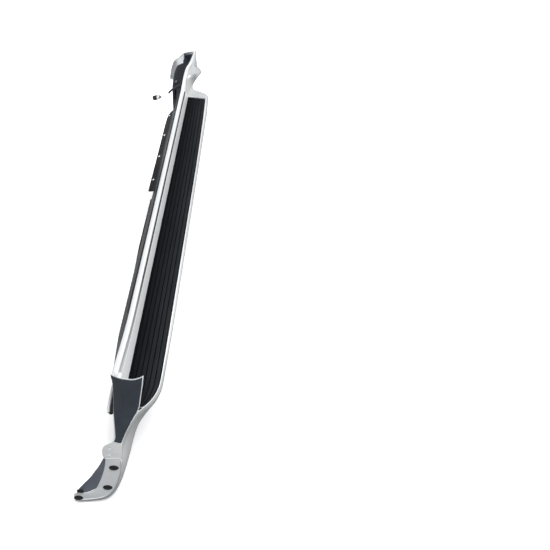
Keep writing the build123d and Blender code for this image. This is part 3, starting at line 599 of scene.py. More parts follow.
RUBBER = finish("soft_rubber", (0.012, 0.012, 0.013), spread=0.2, rough=(0.68, 0.07),
                grain=(40, 1600), relief=0.25, spec=0.35)
NYLON = finish("black_nylon", (0.010, 0.0105, 0.012), spread=0.2, rough=(0.45, 0.08),
               grain=(40, 1500), relief=0.15, depth=0.0002)


def pad_material():
    """Grip pad: painted shade darkens the grooves, and a painted reflection makes the ribs paler
    towards the outer edge.
    """
    material, tree, inputs = new_material("grip_pad", IOR=1.18, Specular_IOR_Level=0.22)
    broad = noise(tree, scale=12, detail=5, rough=0.6, stretch=(1, 0.3, 1))
    fine = noise(tree, scale=1400, detail=3, rough=0.6)
    streaks = noise(tree, scale=90, detail=4, rough=0.6, stretch=(1, 0.15, 1))
    height = remap(tree, coordinate(tree, "Z"), to=(0.0, 1.0),
                   span=(-0.0014 + SHIFT[2] * MM, 0.0001 + SHIFT[2] * MM))
    outward = remap(tree, coordinate(tree, "X"), to=(0.0, 1.0),
                    span=((SHIFT[0] + 8.0) * MM, (SHIFT[0] + 92.0) * MM))
    # groove colour is painted shade; the grooves are the same rubber as the ribs
    groove = ramp(tree, broad, (0.3, (0.0012, 0.0014, 0.0020)), (0.7, (0.0022, 0.0025, 0.0034)))
    inner = ramp(tree, streaks, (0.35, (0.0036, 0.0046, 0.0064)), (0.7, (0.0062, 0.0074, 0.01)))
    # ribs grow paler towards the outer edge: a painted reflection of the sheen there
    outer = ramp(tree, streaks, (0.35, (0.021, 0.023, 0.027)), (0.7, (0.032, 0.034, 0.039)))
    rib = mix(tree, outward, inner, outer)
    tree.links.new(mix(tree, height, groove, rib), inputs["Base Color"])
    roughness = remap(tree, streaks, span=(0.3, 0.7), to=(0.60, 0.76))
    tree.links.new(roughness, inputs["Roughness"])
    bump(tree, inputs, (fine, 0.28, 0.0003), (streaks, 0.1, 0.0005))
    return material


def groove_shade_material():
    """Channel of the upstand: painted shade for the shadow under the ridge lip, dark along the
    board and fading to pale towards the arch end at -Y.
    """
    material, tree, inputs = new_material("groove_painted_shade", Roughness=0.55, Specular_IOR_Level=0.3)
    streaks = noise(tree, scale=30, detail=4, rough=0.6, stretch=(1, 0.2, 1))
    fine = noise(tree, scale=900, detail=2, rough=0.6)
    dark = ramp(tree, streaks, (0.3, (0.022, 0.025, 0.028)), (0.7, (0.038, 0.041, 0.045)))
    pale = ramp(tree, streaks, (0.3, (0.36, 0.37, 0.38)), (0.7, (0.42, 0.43, 0.44)))
    fade = remap(tree, coordinate(tree, "Y"), span=(-0.690, -0.380), to=(1.0, 0.0))
    tree.links.new(mix(tree, fade, dark, pale)
                   if False else mix(tree, fade, dark, pale), inputs["Base Color"])
    bump(tree, inputs, (fine, 0.12, 0.0003))
    return material


def web_material():
    material, tree, inputs = new_material("woven_strap", Roughness=0.78)
    source = tree.nodes.new("ShaderNodeTexCoord")
    waves = []
    for direction, scale in (("X", 260), ("Y", 330)):
        wave = tree.nodes.new("ShaderNodeTexWave")
        wave.bands_direction = direction
        wave.inputs["Scale"].default_value = scale
        wave.inputs["Distortion"].default_value = 0.6
        tree.links.new(source.outputs["Object"], wave.inputs["Vector"])
        waves.append(wave.outputs["Fac"])
    weave = product(tree, *waves)
    tint = ramp(tree, weave, (0.1, (0.006, 0.006, 0.008)), (0.9, (0.035, 0.035, 0.04)))
    tree.links.new(tint, inputs["Base Color"])
    fuzz = noise(tree, scale=700, detail=3, rough=0.6)
    bump(tree, inputs, (weave, 0.5, 0.0005), (fuzz, 0.15, 0.0002))
    return material


PAD = pad_material()
# painted shade for the channel under the ridge lip
GROOVE_SHADE = groove_shade_material()
WEB = web_material()

# ---------------------------------------------------------------- shell: upstand
# Visible face of the upstand as (x, z), from the inner top down to the tread.
UPSTAND = floats([(-20, 36), (-18.8, 41.3), (-15, 43), (-6, 42.2), (-2.3, 38.8), (-2.2, 35.4),
                  (-8.6, 34), (-8.8, 28.6), (-1.8, 25), (-0.6, 5)])
UPSTAND_RADII = [0.4, 2.4, 3.4, 3.4, 2.4, 1.2, 1.4, 1.4, 1.8, 3.0]
# Hidden face, (x, z), back up to the inner top.
HIDDEN = floats([(-4.2, -2), (-4.2, 22.6), (-11.4, 26.4), (-11.4, 34.8), (-5.2, 36.4),
                 (-6.6, 39), (-15, 39.8), (-16.6, 39.2), (-17.4, 36)])
# y, outer x of the tread floor, lean of the ridge top in x and in z
TREAD = floats([
    (-800, 64.4, -5, 7), (-792, 73.8, -5, 7), (-781, 84, -5, 7), (-769, 91.8, -5, 7),
    (-757, 96.6, -5, 7), (-742, 100.6, -5, 7), (-700, 102.2, -4.8, 6), (-640, 102.4, -3.2, 2.4),
    (-590, 102.5, -1.5, 0.6), (-520, 102.5, 0, 0), (120, 102.5, 0, 0), (330, 100.4, 0, 0),
    (520, 96.8, 0, 0), (600, 94.6, 0, 0), (645, 93.2, 0, 0), (690, 91, 0, 0)])
# y, greatest height, where the upstand is trimmed to the arch
TRIM = floats([(-800, -6), (-790, -5), (-767, 10.2), (-736.5, 34.4), (-720.5, 48), (-713.5, 64)])


def upstand_ring(y):
    outer_x, *lean = table_at(TREAD, y)
    face = UPSTAND + np.outer(UPSTAND[:, 1] / RIDGE_TOP, lean)
    hidden = HIDDEN + np.outer(HIDDEN[:, 1] / RIDGE_TOP, lean)
    floor_x = outer_x + 0.6
    tread = [(0.0, DECK), (floor_x, DECK), (floor_x, -7.0), (-3.4, -7.0)]
    radii = UPSTAND_RADII + [1.0, 0.3, 0.3, 0.5] + [0.5] * len(HIDDEN)
    ring = round_path(np.vstack([face, tread, hidden]), radii, 3, closed=True)
    if y < TRIM[-1, 0]:
        ring[:, 1] = np.minimum(ring[:, 1], np.interp(y, TRIM[:, 0], TRIM[:, 1]))
    return at_y(ring, y)


def upstand():
    ys = stations(-800.0, 690.0, [(-800, -690, 6.0), (-690, -500, 15.0), (500, 690, 15.0)])
    ob = loft("up_main", [upstand_ring(y) for y in ys], [PAINT, GROOVE_SHADE])
    # the walls of the channel take painted shade, a dark colour for the shadow under the ridge
    # lip
    for face in ob.data.polygons:
        x, y, z = np.array(face.center) / MM - SHIFT
        if not -712.0 < y < 692.0:
            continue
        _, lean_x, lean_z = table_at(TREAD, y)
        u, v = x - lean_x * z / RIDGE_TOP, z - lean_z * z / RIDGE_TOP
        if -9.6 < u < -2.3 and 25.0 + (-1.8 - u) * 0.514 - 0.9 < v < 34.8:
            face.material_index = 1
    return ob


# ---------------------------------------------------------------- shell: rim
# Stations of the rim from the +Y end of the tread round to the arch tip:
# inner edge x, y, z; outer edge x, y, z; foot x, y, z
RIM = floats([
    (6.5, 778, 1, 10.2, 778.5, -1.2, 8, 776, -9),
    (8.2, 764, 1, 12.8, 761.5, -1.6, 9.6, 758, -11.5),
    (22, 735.5, 1, 27.2, 741, -2, 23, 736, -13),
    (46.5, 717.5, 1.1, 51.2, 723.4, -2.2, 46.5, 717.6, -14.5),
    (69.5, 698.8, 1.2, 74.4, 704.6, -2.5, 68.5, 698, -16),
    (88.4, 681, 1.2, 94.6, 685.8, -2.7, 86.5, 679.5, -18),
    (94.6, 664, 1.3, 101.6, 668, -3, 90, 664, -18.8),
    (93.6, 645, 1.3, 104.9, 648, -3, 90.4, 645, -19.4),
    (94.5, 600, 1.3, 108.6, 600, -3, 92, 600, -20.2),
    (96.8, 520, 1.3, 111.8, 520, -3, 94.8, 520, -21),
    (100.4, 330, 1.3, 112.5, 330, -3, 95.4, 330, -21),
    (102.5, 120, 1.3, 112.6, 120, -3, 95.6, 120, -21),
    (102.5, -200, 1.3, 112.6, -200, -3, 95.6, -200, -21),
    (102.5, -520, 1.3, 112.5, -520, -3, 95.4, -520, -21),
    (102.5, -590, 1.3, 112.1, -590, -3, 95.2, -590, -21.2),
    (102.4, -640, 1.3, 111.3, -640, -3, 95, -640, -22.4),
    (102.2, -695, 1.3, 110, -696, -3.4, 94.6, -695, -26.5),
    (100.6, -742, 1.2, 108, -744, -3.8, 90.5, -743, -33),
    (96.2, -758, 1.1, 104.4, -762, -4, 85.6, -758, -36),
    (91.4, -769.5, 1, 99.2, -775, -4.2, 79.6, -770, -38.4),
    (83.6, -781, 0.8, 91, -787, -4.6, 73, -779.5, -40.4),
    (72.6, -792.5, 0.5, 80, -799.5, -5.4, 65.5, -788, -42.2),
    (61.5, -800.8, -0.2, 69.6, -807.5, -6.8, 58.2, -797.5, -43.6),
    (52, -808, -2.2, 60, -814, -9.2, 50.6, -805.6, -45.2),
    (38.2, -819.5, -9.4, 45.4, -824.6, -14.5, 40, -819, -48.2),
    (27.4, -831.5, -15.8, 34, -836.6, -20.4, 30.5, -832, -53),
    (15.2, -845.5, -24, 22, -849.6, -28, 21, -849, -63),
    (5.6, -860, -33.8, 11.6, -862, -37, 12.5, -865, -75),
    (-1.2, -873, -42.4, 3.7, -875, -46, 5.5, -880, -85),
    (-8.2, -887, -49.6, -3.2, -889, -53.6, 0, -893, -94),
    (-11.6, -903, -56.6, -5.6, -905, -61.2, -6, -905, -102),
    (-13, -918, -63.6, -6.6, -921, -69.2, -11, -915, -109),
    (-18.6, -938.4, -87, -12.6, -942, -93.2, -19.5, -934, -120),
    (-26, -949.6, -100.6, -20.6, -954.4, -107.8, -28, -950, -129),
    (-35, -960, -113, -29.6, -965.2, -120.4, -37, -963, -138),
    (-46.6, -972.6, -128, -42, -978.2, -135.6, -49, -976, -147),
    (-59, -982.6, -140, -55.4, -988.6, -148.4, -62, -986, -156),
    (-80.6, -994, -153.5, -78.8, -1000.4, -162.2, -83, -996, -167.4),
    (-100.2, -998.6, -159, -99.4, -1005.2, -168, -102, -998.6, -171.6),
    (-122, -1000.6, -161.4, -122, -1007, -170.2, -123, -999, -173.2),
    (-153, -1002.2, -163.4, -153.4, -1008.4, -172, -153, -1000, -174.4),
    (-169, -1001.6, -162.6, -172.4, -1007.4, -171.2, -170, -1000, -173.2),
    (-176.4, -998.6, -159, -182.2, -1003, -166.6, -178, -997, -169),
    (-178.6, -994.4, -154.2, -185.3, -997.2, -159.6, -180.6, -992.4, -162),
    (-176.6, -989.6, -148.6, -182.6, -990.6, -151.8, -178.4, -987, -155.2)])
RIM_CURVED = (230, 1430)    # the run bends before the first length and after the second


def rim_grid():
    length = run_lengths(RIM[:, 3:6])
    first, last = RIM_CURVED
    samples = []
    for start, end in zip(length, length[1:]):
        step = 5.0 if start < first or start > last else 26.0
        count = max(2, math.ceil((end - start) / step))
        samples += list(np.linspace(start, end, count, endpoint=False))
    samples = floats(samples + [length[-1]])
    run = pchip(length, RIM, samples).reshape(-1, 3, 3)
    # the bends are smoothed lightly, with the ends kept
    bends = ((samples < first) | (samples > last))[:, None, None]
    for _ in range(6):
        blurred = run.copy()
        blurred[1:-1] = 0.25 * run[:-2] + 0.5 * run[1:-1] + 0.25 * run[2:]
        run = np.where(bends, blurred, run)
    tangents = unit(np.gradient(run[:, 1], axis=0))
    grid = []
    for (inner, outer, foot), tangent, at in zip(run, tangents, samples):
        inward = inner - outer
        inward[2] = 0
        width = np.linalg.norm(inward)
        inward = inward / max(width, 1e-6)
        wall = foot - outer
        bulge = unit(np.cross(tangent, wall))
        if np.dot(bulge, -inward) < 0:
            bulge = -bulge
        arch = smoothstep(1380, 1560, at)
        depth = 3.4 * (1 - arch) + 2.2 * arch
        top = inner + up(0.1)
        edge = outer + inward * min(6.6, 0.62 * width) + up(0.9 * (inner[2] - outer[2]))
        path = [inner + up(-6.5), top - up(1.0), top - inward * 1.4 + up(0.35), edge, outer,
                outer + wall * 0.34 + bulge * depth * 0.9,
                outer + wall * 0.7 + bulge * depth * 0.7, foot]
        grid.append(round_path(path, [0, 1.0, 1.2, 2.6, 2.6, 6.0, 6.0, 0]))
    return floats(grid)


def rim():
    """Rim, nose and outer wall as one sheet; the greyer paints on the nose and the wall are
    painted shade.
    """
    grid = rim_grid()
    centre = grid.mean(axis=1, keepdims=True) + floats([-30, 0, -30])
    ob = sheet("rim", grid, behind(grid, 2.6, centre - grid),
               [PAINT, PAINT_BACK, PAINT_SHADE_GREY, PAINT_NOSE_SHADE])
    cols = grid.shape[1] - 1
    # faces past the inner edge get painted shade, darkest on the nose and greyer on the outer
    # wall
    for k, face in enumerate(ob.data.polygons[:(grid.shape[0] - 1) * cols]):
        if k % cols >= 13:
            face.material_index = 3 if k % cols < 20 else 2
    round_edges(ob, 0.7)
    return ob


# ---------------------------------------------------------------- shell: +Y end
# Shelf that closes the +Y end of the tread, (x, y).
SHELF = [(-3, 679), (2, 683.2), (48, 664.4), (93, 645.6), (97.5, 646), (98.2, 654), (96, 666),
         (89, 681), (70, 698.6), (47, 717.5), (22.5, 735.5), (8.4, 756), (6.5, 778), (-3, 778)]
# Slanted wall at the end of the pad: (x, y, z) up its inner and its outer end.
TREAD_WALL = floats([[(1, 684, -6.5), (1, 684, 0), (1, 684.8, 0.9), (1, 687, 1.1)],
                     [(93.4, 645.4, -6.5), (93.4, 645.4, 0), (93.8, 646.2, 0.9),
                      (94.6, 648, 1.1)]])
# Upstand past the tread: y, shift in x and in z, height scale, width scale
RIDGE = floats([(640, 0, 0, 1, 1), (700, -0.6, 1, 1, 1), (775, -1, 3.5, 1, 1),
                (800, -0.5, 5, 0.92, 1), (860, 4, 8, 0.66, 0.98), (897, 16.5, 10, 0.6, 0.9),
                (940, 23, 10.5, 0.52, 0.8), (990, 28, 10.5, 0.38, 0.62),
                (1019, 29.5, 10.5, 0.28, 0.42)])
# Flare beside the ridge: outer contour x, y, z; ridge foot x, y, z
FLARE = floats([
    (-0.5, 690, -1, -1.9, 690, 26.5), (2.4, 715, -1, -2, 705, 28),
    (4.6, 742, -1, -2.2, 722, 30), (8.4, 766, -0.6, -2.4, 740, 32.4),
    (13.6, 783, 5, -2.4, 756, 35), (24.5, 796, 14, -2, 770, 37.6),
    (40, 801.2, 26, -1.4, 784, 40.2), (55.6, 800.4, 38, -0.4, 798, 42.4),
    (66.6, 797.2, 46.6, 1.2, 812, 44.4), (71.8, 803, 50.8, 2.8, 824, 46),
    (70, 812, 52, 4.4, 836, 47.2), (64, 823, 52, 6.4, 848, 48.2),
    (54.6, 838, 51.6, 8.6, 860, 49.2), (45, 853, 51.4, 10.6, 872, 50.2),
    (35.5, 864.5, 51.6, 12.4, 884, 50.8), (29.6, 877, 52, 13.6, 895, 51.2),
    (28.6, 893, 52.4, 14.8, 908, 51.5), (28.8, 912, 52.8, 16, 926, 51.8),
    (27, 940, 53, 17.2, 948, 52), (23.4, 975, 53.2, 17.6, 978, 52.3),
    (18.6, 1016, 53.2, 16.8, 1016, 52.6)])
# Hollow of the flare face by station number: (stations, amounts), down and towards +Y.
HOLLOW_DOWN = [0, 3, 5, 7, 8.5, 11, 14, 17, 20], [0, 0.5, 2, 5, 6.5, 6, 3.5, 1.5, 0.2]
HOLLOW_BACK = [0, 3, 5, 7, 9, 11, 20], [0, 0.8, 4, 7, 4, 0, 0]


def ridge_ring(y):
    shift_x, shift_z, tall, wide = table_at(RIDGE, y)
    P = np.vstack([UPSTAND, [(0.0, DECK), (-3.6, DECK - 1)], HIDDEN])
    inner_x = UPSTAND[0, 0]
    P = np.column_stack([inner_x + shift_x + (P[:, 0] - inner_x) * wide,
                         RIDGE_TOP + shift_z - (RIDGE_TOP - P[:, 1]) * tall])
    radii = [r * max(wide, 0.6) for r in UPSTAND_RADII] + [0.5] * (2 + len(HIDDEN))
    return at_y(round_path(P, radii, 3, closed=True), y)


def flare():
    outer_curve, inner_curve = catmull(FLARE[:, :3], 5), catmull(FLARE[:, 3:], 5)
    grid = []
    for i, (outer, inner) in enumerate(zip(outer_curve, inner_curve)):
        station = i / (len(outer_curve) - 1) * (len(FLARE) - 1)
        pull = floats([0, np.interp(station, *HOLLOW_BACK), -np.interp(station, *HOLLOW_DOWN)])
        away = unit(outer - inner)
        row = [outer + away * 0.2 + up(-5.5), outer + away * 0.9 + up(-1.6)]
        for t in np.linspace(0, 1, 17):
            row.append(outer * (1 - t) + inner * t + pull * math.sin(math.pi * t ** 0.8))
        grid.append(row)
    grid = floats(grid)
    # the flare face takes the greyer paint as painted shade
    ob = sheet("flare", grid, behind(grid, 2.4, floats([0, 20, -40])), [PAINT_SHADE_GREY])
    round_edges(ob, 0.6)
    return ob


# ---------------------------------------------------------------- shell: end pan
PAN_Y = 1021.0
PAN_CENTRE = floats([-62, -14])
PAN_EDGE = 8.0          # radius of the rounded border
PAN_WALL = 2.8
# Outline of the pan, (x, z), and its corner radii.
PAN = [(17, 54), (-6, 53.6), (-46, 52.5), (-62, 46), (-78, 35), (-110, 27), (-128, 8),
       (-146, -25), (-167, -58), (-158, -66), (-100, -71), (-40, -69), (-14, -60), (-1, -44),
       (4, -20), (9, 10)]
PAN_RADII = [4, 3, 14, 14, 14, 16, 16, 16, 7, 12, 20, 26, 16, 14, 20, 20]


def blur_ring(values):
    return 0.25 * np.roll(values, 1, 0) + 0.5 * values + 0.25 * np.roll(values, -1, 0)


def skirt_depth(x, z):
    """Shallow along the upper edge and low on the inner side, deep elsewhere."""
    if x < -120 and z < -40:
        return 14.0 + 30.0 * float(smoothstep(-165.0, -125.0, x))
    if z > 50.0 and x > -50:
        return 7.0
    if z > -58.0 and x < -20 and z > -(x + 50) - 60:
        return 9.0
    return 62.0


def pan_grid():
    loop = round_path(PAN, PAN_RADII, 5, closed=True)
    loop = np.vstack([loop, loop[:1]])
    length = run_lengths(loop)
    t = np.linspace(0, length[-1], 150, endpoint=False)
    border = np.column_stack([np.interp(t, length, loop[:, 0]), np.interp(t, length, loop[:, 1])])
    depth = floats([skirt_depth(x, z) for x, z in border])
    for _ in range(60):
        depth = blur_ring(depth)
    along = np.roll(border, -1, 0) - np.roll(border, 1, 0)
    inward = unit(np.column_stack([-along[:, 1], along[:, 0]]))
    if np.mean(np.sum(inward * (PAN_CENTRE - border), axis=1)) < 0:
        inward = -inward
    for _ in range(26):
        inward = unit(blur_ring(inward))
    rows = []
    for f in (0.12, 0.3, 0.5, 0.68, 0.84):
        face = PAN_CENTRE + (border + inward * PAN_EDGE - PAN_CENTRE) * f
        rows.append(at_y(face, PAN_Y))
    for angle in np.linspace(0, 90, 7):
        c, s = math.cos(math.radians(angle)), math.sin(math.radians(angle))
        rows.append(at_y(border + inward * PAN_EDGE * (1 - s), PAN_Y - PAN_EDGE * (1 - c)))
    for f in (0.25, 0.5, 0.75, 1.0):
        rows.append(at_y(border, PAN_Y - PAN_EDGE - np.maximum(depth - PAN_EDGE, 0.5) * f))
    return floats(rows)


def pan():
    """Closed end: a flat face with a rounded border and a skirt, as a thin wall."""
    grid = pan_grid()
    rows, cols, _ = grid.shape
    around = np.roll(grid, -1, 1) - np.roll(grid, 1, 1)
    normals = unit(np.cross(np.gradient(grid, axis=0), around))
    if np.mean(np.sum(normals * (floats([-62, 980, -14]) - grid), axis=2)) < 0:
        normals = -normals
    x, z = PAN_CENTRE
    points = np.vstack([grid.reshape(-1, 3), [[x, PAN_Y, z]],
                        (grid + normals * PAN_WALL).reshape(-1, 3), [[x, PAN_Y - PAN_WALL, z]]])
    hub = rows * cols
    inner = hub + 1
    faces = grid_faces(rows, cols, wrap=True)
    faces += grid_faces(rows, cols, inner, wrap=True, flip=True)
    for j in range(cols):
        k = (j + 1) % cols
        a, b = hub - cols + j, hub - cols + k
        faces += [(hub, k, j), (inner + hub, inner + j, inner + k), (a, b, b + inner, a + inner)]

    # Inner face towards the board: beside the inner panel it takes the lightened white, painted
    # light. In the hollow of the cup it stays white along the top edge and below that takes dark
    # blue-grey, painted shade.
    def slot(face):
        if min(face) < inner:
            return 0
        cx, _, cz = points[list(face)].mean(axis=0)
        if cx <= -45.0:
            return 1
        return 0 if cz > 33.0 else 3

    ob = build("pan", points, faces, [PAINT, PAINT_IN_LIGHTENED, PAINT_BACK, BACKING],
               [slot(face) for face in faces])
    round_edges(ob, 0.6)
    return ob


# ---------------------------------------------------------------- arch blade
# Lower edge x, y, z; upper edge x, y, z; bow. Rows run down from the top of the arch.
BLADE = floats([
    (-25, -718.5, 50, 78.6, -733.7, 57, 11.5), (-24, -735, 36.5, 74.8, -750.5, 46, 11),
    (-27, -766, 12, 64.8, -778, 24.5, 9.5), (-29, -791, -3.5, 54.8, -803, 4, 8),
    (-30, -813, -16, 37.5, -823, -11, 5.5), (-30, -838, -30, 20.5, -846, -23.5, 3.5),
    (-30.6, -862, -41, 3, -868, -40.5, 1.6), (-37, -879, -48, -5, -882, -48.5, 0.6)])
BOW_PEAK = 0.62         # share of the width where the bow is greatest


def blade_grid(inset=0.0, lift=0.0, start=0.0, end=7.0):
    stops = np.linspace(start, end, 64)
    rows = pchip(range(len(BLADE)), BLADE, stops)
    edges = rows[:, :6].reshape(-1, 2, 3)
    tangents = unit(np.gradient(edges.mean(axis=1), axis=0))
    grid = []
    for (a, b), bow, tangent, s in zip(edges, rows[:, 6], tangents, stops):
        width = np.linalg.norm(b - a)
        normal = unit(np.cross((b - a) / width, tangent))
        if normal[1] > 0:
            normal = -normal
        near = inset + (4.6 * float(smoothstep(3.2, 6.4, s)) if inset else 0.0)
        row = []
        for u in np.linspace(near / width, 1 - inset / width, 33):
            reach = BOW_PEAK if u < BOW_PEAK else 0.38
            k = 1 - abs((u - BOW_PEAK) / reach) ** 2.0
            # shallow swelling where the upstand runs into the top corner
            swell = 2.2 * float(smoothstep(0.46, 0.30, u) * smoothstep(1.15, 0.55, s + 1.1 * u))
            row.append(a + (b - a) * u + floats([0, -1, -0.12]) * bow * k
                       + normal * (lift + swell))
        grid.append(row)
    return floats(grid)


def blade():
    grid = blade_grid()
    ob = sheet("blade", grid, behind(grid, 2.6, floats([0, 40, -20])), [PAINT])
    round_edges(ob, 0.8, segments=3)
    return ob


# ---------------------------------------------------------------- arch flange and lobed plate
def on_slope(angle):
    """Placement on a plane that rises towards +Y from the fold line."""
    s, c = math.sin(math.radians(angle)), math.cos(math.radians(angle))
    return lambda u, v, w: (-11.0 + u, -917.0 + v * c - w * s, -62.0 + v * s + w * c)


on_flange = on_slope(50.0)
on_lobe = on_slope(23.4)
# Edges of the hooked flange and of the lobe, in their own planes.
HOOK_OUTER = [(4.4, -6.3), (-1.8, -37.2), (-9.6, -56.9), (-18.3, -73.4), (-31, -93.4),
              (-44.4, -110.1), (-67.5, -128.6), (-88.6, -137.2), (-110.9, -140.2),
              (-142.5, -142), (-161.7, -143), (-171.5, -137.5), (-174.4, -130), (-171, -119)]
HOOK_INNER = [(-158.2, -109.1), (-145.3, -111.9), (-128, -110.5), (-111.6, -106.4),
              (-94.4, -95.1), (-79.4, -75), (-62.6, -48.5), (-51, -25.6), (-43, -5)]
LOBE = [(-4, 41.5), (-16, 42.5), (-26, 41.5), (-34, 38.6), (-43, 35.5), (-49, 31),
        (-52.2, 24.5), (-51.8, 17), (-49.8, 8), (-46, 2), (-41.5, -0.5)]
PLUGS = [(-24.4, -29.5), (-59.8, -94.3), (-158.5, -127.5)]


def arch_flange():
    loop = np.vstack([catmull(HOOK_OUTER, 5), catmull(HOOK_OUTER[-1:] + HOOK_INNER, 5)[1:],
                      [(-41.6, 1.2), (0.5, 1.2)]])
    return plate("jf", [loop] + [oval(u, v, 11.5, 6.2) for u, v in PLUGS], 3.0, PAINT, 0.9,
                 lambda u, v, w: on_flange(u, v, w - 1.5), 3)


def arch_lobe():
    loop = np.vstack([[(4.5, -0.9), (5.6, 15.0), (6.0, 38.0)], catmull(LOBE, 5)[:-1],
                      [(-41.5, -0.9)]])
    holes = [circle(x, y, 2.1, 20) for x, y in ((-28.8, 26.4), (-30.0, 11.1))]
    # the lobe takes the greyer paint as painted shade
    return plate("lb", [loop] + holes, 3.0, PAINT_SHADE_GREY, 0.9,
                 lambda u, v, w: on_lobe(u, v, w - 1.5), 3)


def fold_bead():
    path = [on_flange(u, 0.0, -0.9) for u in np.linspace(-42.6, 2.5, 12)]
    return tube("fold", path, circle(0, 0, 1.3, 14), PAINT)


def outer_shell():
    parts = [upstand(), rim()]
    shelf = round_path(SHELF, 6.0, closed=True)
    # the shelf takes the greyer paint as painted shade
    parts.append(plate("shelf", [shelf], 5.6, PAINT_SHADE_GREY, 0.7, level(-1.7)))
    wall_back = behind(TREAD_WALL, 1.0, floats([0, -1, 0]))
    parts.append(sheet("tread_wall", TREAD_WALL, wall_back, [PAINT]))
    ys = stations(688.0, 1019.0, [(688, 1019, 9.0)])
    parts.append(loft("ridge_b", [ridge_ring(y) for y in ys], [PAINT]))
    parts += [flare(), pan(), blade(), arch_flange(), arch_lobe(), fold_bead()]
    hand_over(join("outer_shell_skin", parts), "outer_shell", 42)


def arch_liner():
    """Dark sheet just off the face of the blade, set in from its edges."""
    front, back = (blade_grid(inset=2.4, lift=lift, start=0.14, end=6.9) for lift in (1.5, 0.05))
    ob = sheet("arch_liner_skin", front, back, [LINER])
    round_edges(ob, 0.4)
    hand_over(ob, "arch_liner")


# ---------------------------------------------------------------- guard backing
# Upper edge x, y, z; lower edge x, y, z
GUARD = floats([
    (-60, -915, -63, -54, -918.5, -66.5), (-78, -929, -81, -63.5, -934.5, -87),
    (-98, -944, -96, -76, -949, -104), (-118, -956.5, -111, -93, -966, -124.5),
    (-140.5, -969.5, -123, -113, -979.5, -141.5), (-158.5, -981.5, -133, -146, -987.5, -150.5),
    (-166, -987, -140, -158, -990.5, -151.5)])


def guard_backing():
    stops = np.linspace(0, 6, 66)
    edges = pchip(range(len(GUARD)), GUARD, stops).reshape(-1, 2, 3)
    tangents = np.gradient(edges.mean(axis=1), axis=0)
    grid = []
    for (a, b), tangent, s in zip(edges, tangents, stops):
        normal = unit(np.cross(b - a, tangent))
        if normal[2] > 0:
            normal = -normal
        sag = 3.6 * math.sin(math.pi * min(s / 6, 1.0)) + 0.4
        grid.append([a + (b - a) * u + normal * sag * math.sin(math.pi * u)
                     for u in np.linspace(0, 1, 13)])
    grid = floats(grid)
    # the blue-grey here is lighter than the slate liner: painted light on this face
    ob = sheet("guard_backing_skin", grid, behind(grid, 2.0, floats([0, 20, -40])), [BACKING])
    round_edges(ob, 0.6)
    loop = round_path([(-9, -4), (9, -5), (8, 4), (-6, 5)], 2.0, closed=True)
    clip = plate("clip_a", [loop, circle(1.0, 0.0, 1.6, 14)], 3.0, NYLON, 0.6,
                 lambda u, v, w: (-156.0 + u, -984.5 + 0.64 * v - 0.77 * w,
                                  -137.5 + 0.77 * v + 0.64 * w - 0.25 * u))
    hand_over(join("guard_backing_skin", [ob, clip]), "guard_backing")


# ---------------------------------------------------------------- inner panel
PANEL_MID = [(-18.5, 34.9), (-24, 33.2), (-30, 28.5), (-50, 6.5), (-70, -16.5), (-81.5, -29.5),
             (-84.6, -34), (-84.4, -37.6), (-81, -40.3), (-48, -40.3)]
# y: outline (x, z) from the lip under the ridge, down the flank, to the foot
PANEL_SECTIONS = {
    925: [(-2, 47.4), (-14, 47.2), (-28, 46.6), (-48, 44), (-65.5, 40.5), (-79.5, 34.5),
          (-85.5, 24), (-85.5, -37), (-81, -40.3), (-48, -40.3)],
    860: [(-14.6, 45), (-24, 44.4), (-36, 43.4), (-56, 41), (-73, 38), (-85, 32), (-89, 22),
          (-89, -37), (-83, -40.3), (-48, -40.3)],
    780: [(-19.4, 38.6), (-26, 38.4), (-38, 37.5), (-58, 34.5), (-74, 30.5), (-83.5, 24.5),
          (-87.6, 15), (-87.6, -37), (-83.5, -40.3), (-48, -40.3)],
    700: [(-19.1, 35.9), (-25, 34.6), (-33, 31), (-54, 18), (-72, 3), (-83.5, -8),
          (-86.6, -16), (-86.6, -37.2), (-82.5, -40.3), (-48, -40.3)],
    640: PANEL_MID,
    -540: PANEL_MID,
    -610: [(-20, 35.4), (-25.6, 33.8), (-31.4, 29), (-49, 7.5), (-67, -16), (-77.5, -29.5),
           (-80.4, -34), (-80.2, -37.6), (-77, -40.3), (-46, -40.3)],
    -712: [(-23, 40.6), (-27.5, 39), (-32, 34), (-44, 12), (-57, -14), (-66.5, -29.5),
           (-69.4, -34), (-69.2, -37.6), (-66, -40.3), (-44, -40.3)]}
PANEL_RADII = [0, 3, 6, 10, 10, 8, 5, 3, 3, 0]
SLOT_X, SLOT_Y, SLOT_ANGLE = -64.0, 704.0, -96.0


def panel_grid():
    rows = []
    for y in stations(-712.0, 925.0, [(-712, -540, 18.0), (560, 925, 6.0)]):
        outline = round_path(section_at(PANEL_SECTIONS, y), PANEL_RADII)
        length = run_lengths(outline)
        # every station gets the same share of points on its lip, flank and foot
        at = np.round(np.concatenate([
            np.linspace(0, length[6], 5, endpoint=False),
            np.linspace(length[6], length[-7], 34, endpoint=False),
            np.linspace(length[-7], length[-1], 9)]), 6)
        rows.append(at_y(np.column_stack([np.interp(at, length, outline[:, 0]),
                                          np.interp(at, length, outline[:, 1])]), y))
    grid = floats(rows)
    normals = grid_normals(grid)
    if np.mean(normals[:, :, 0]) > 0:
        normals = -normals
    # tapered recess leading into the slot
    x, y = grid[:, :, 0], grid[:, :, 1]
    t = np.clip((y - 588.0) / (690.0 - 588.0), 0, 1)
    centre_x, half = -60.0 - 5.0 * t, 1.5 + 11.0 * t
    across = np.exp(-np.maximum(np.abs(x - centre_x) - half, 0) ** 2 / 6.0)
    recess = across * smoothstep(586, 600, y) * (1 - smoothstep(735, 748, y))
    return grid - normals * (2.6 * recess)[:, :, None]


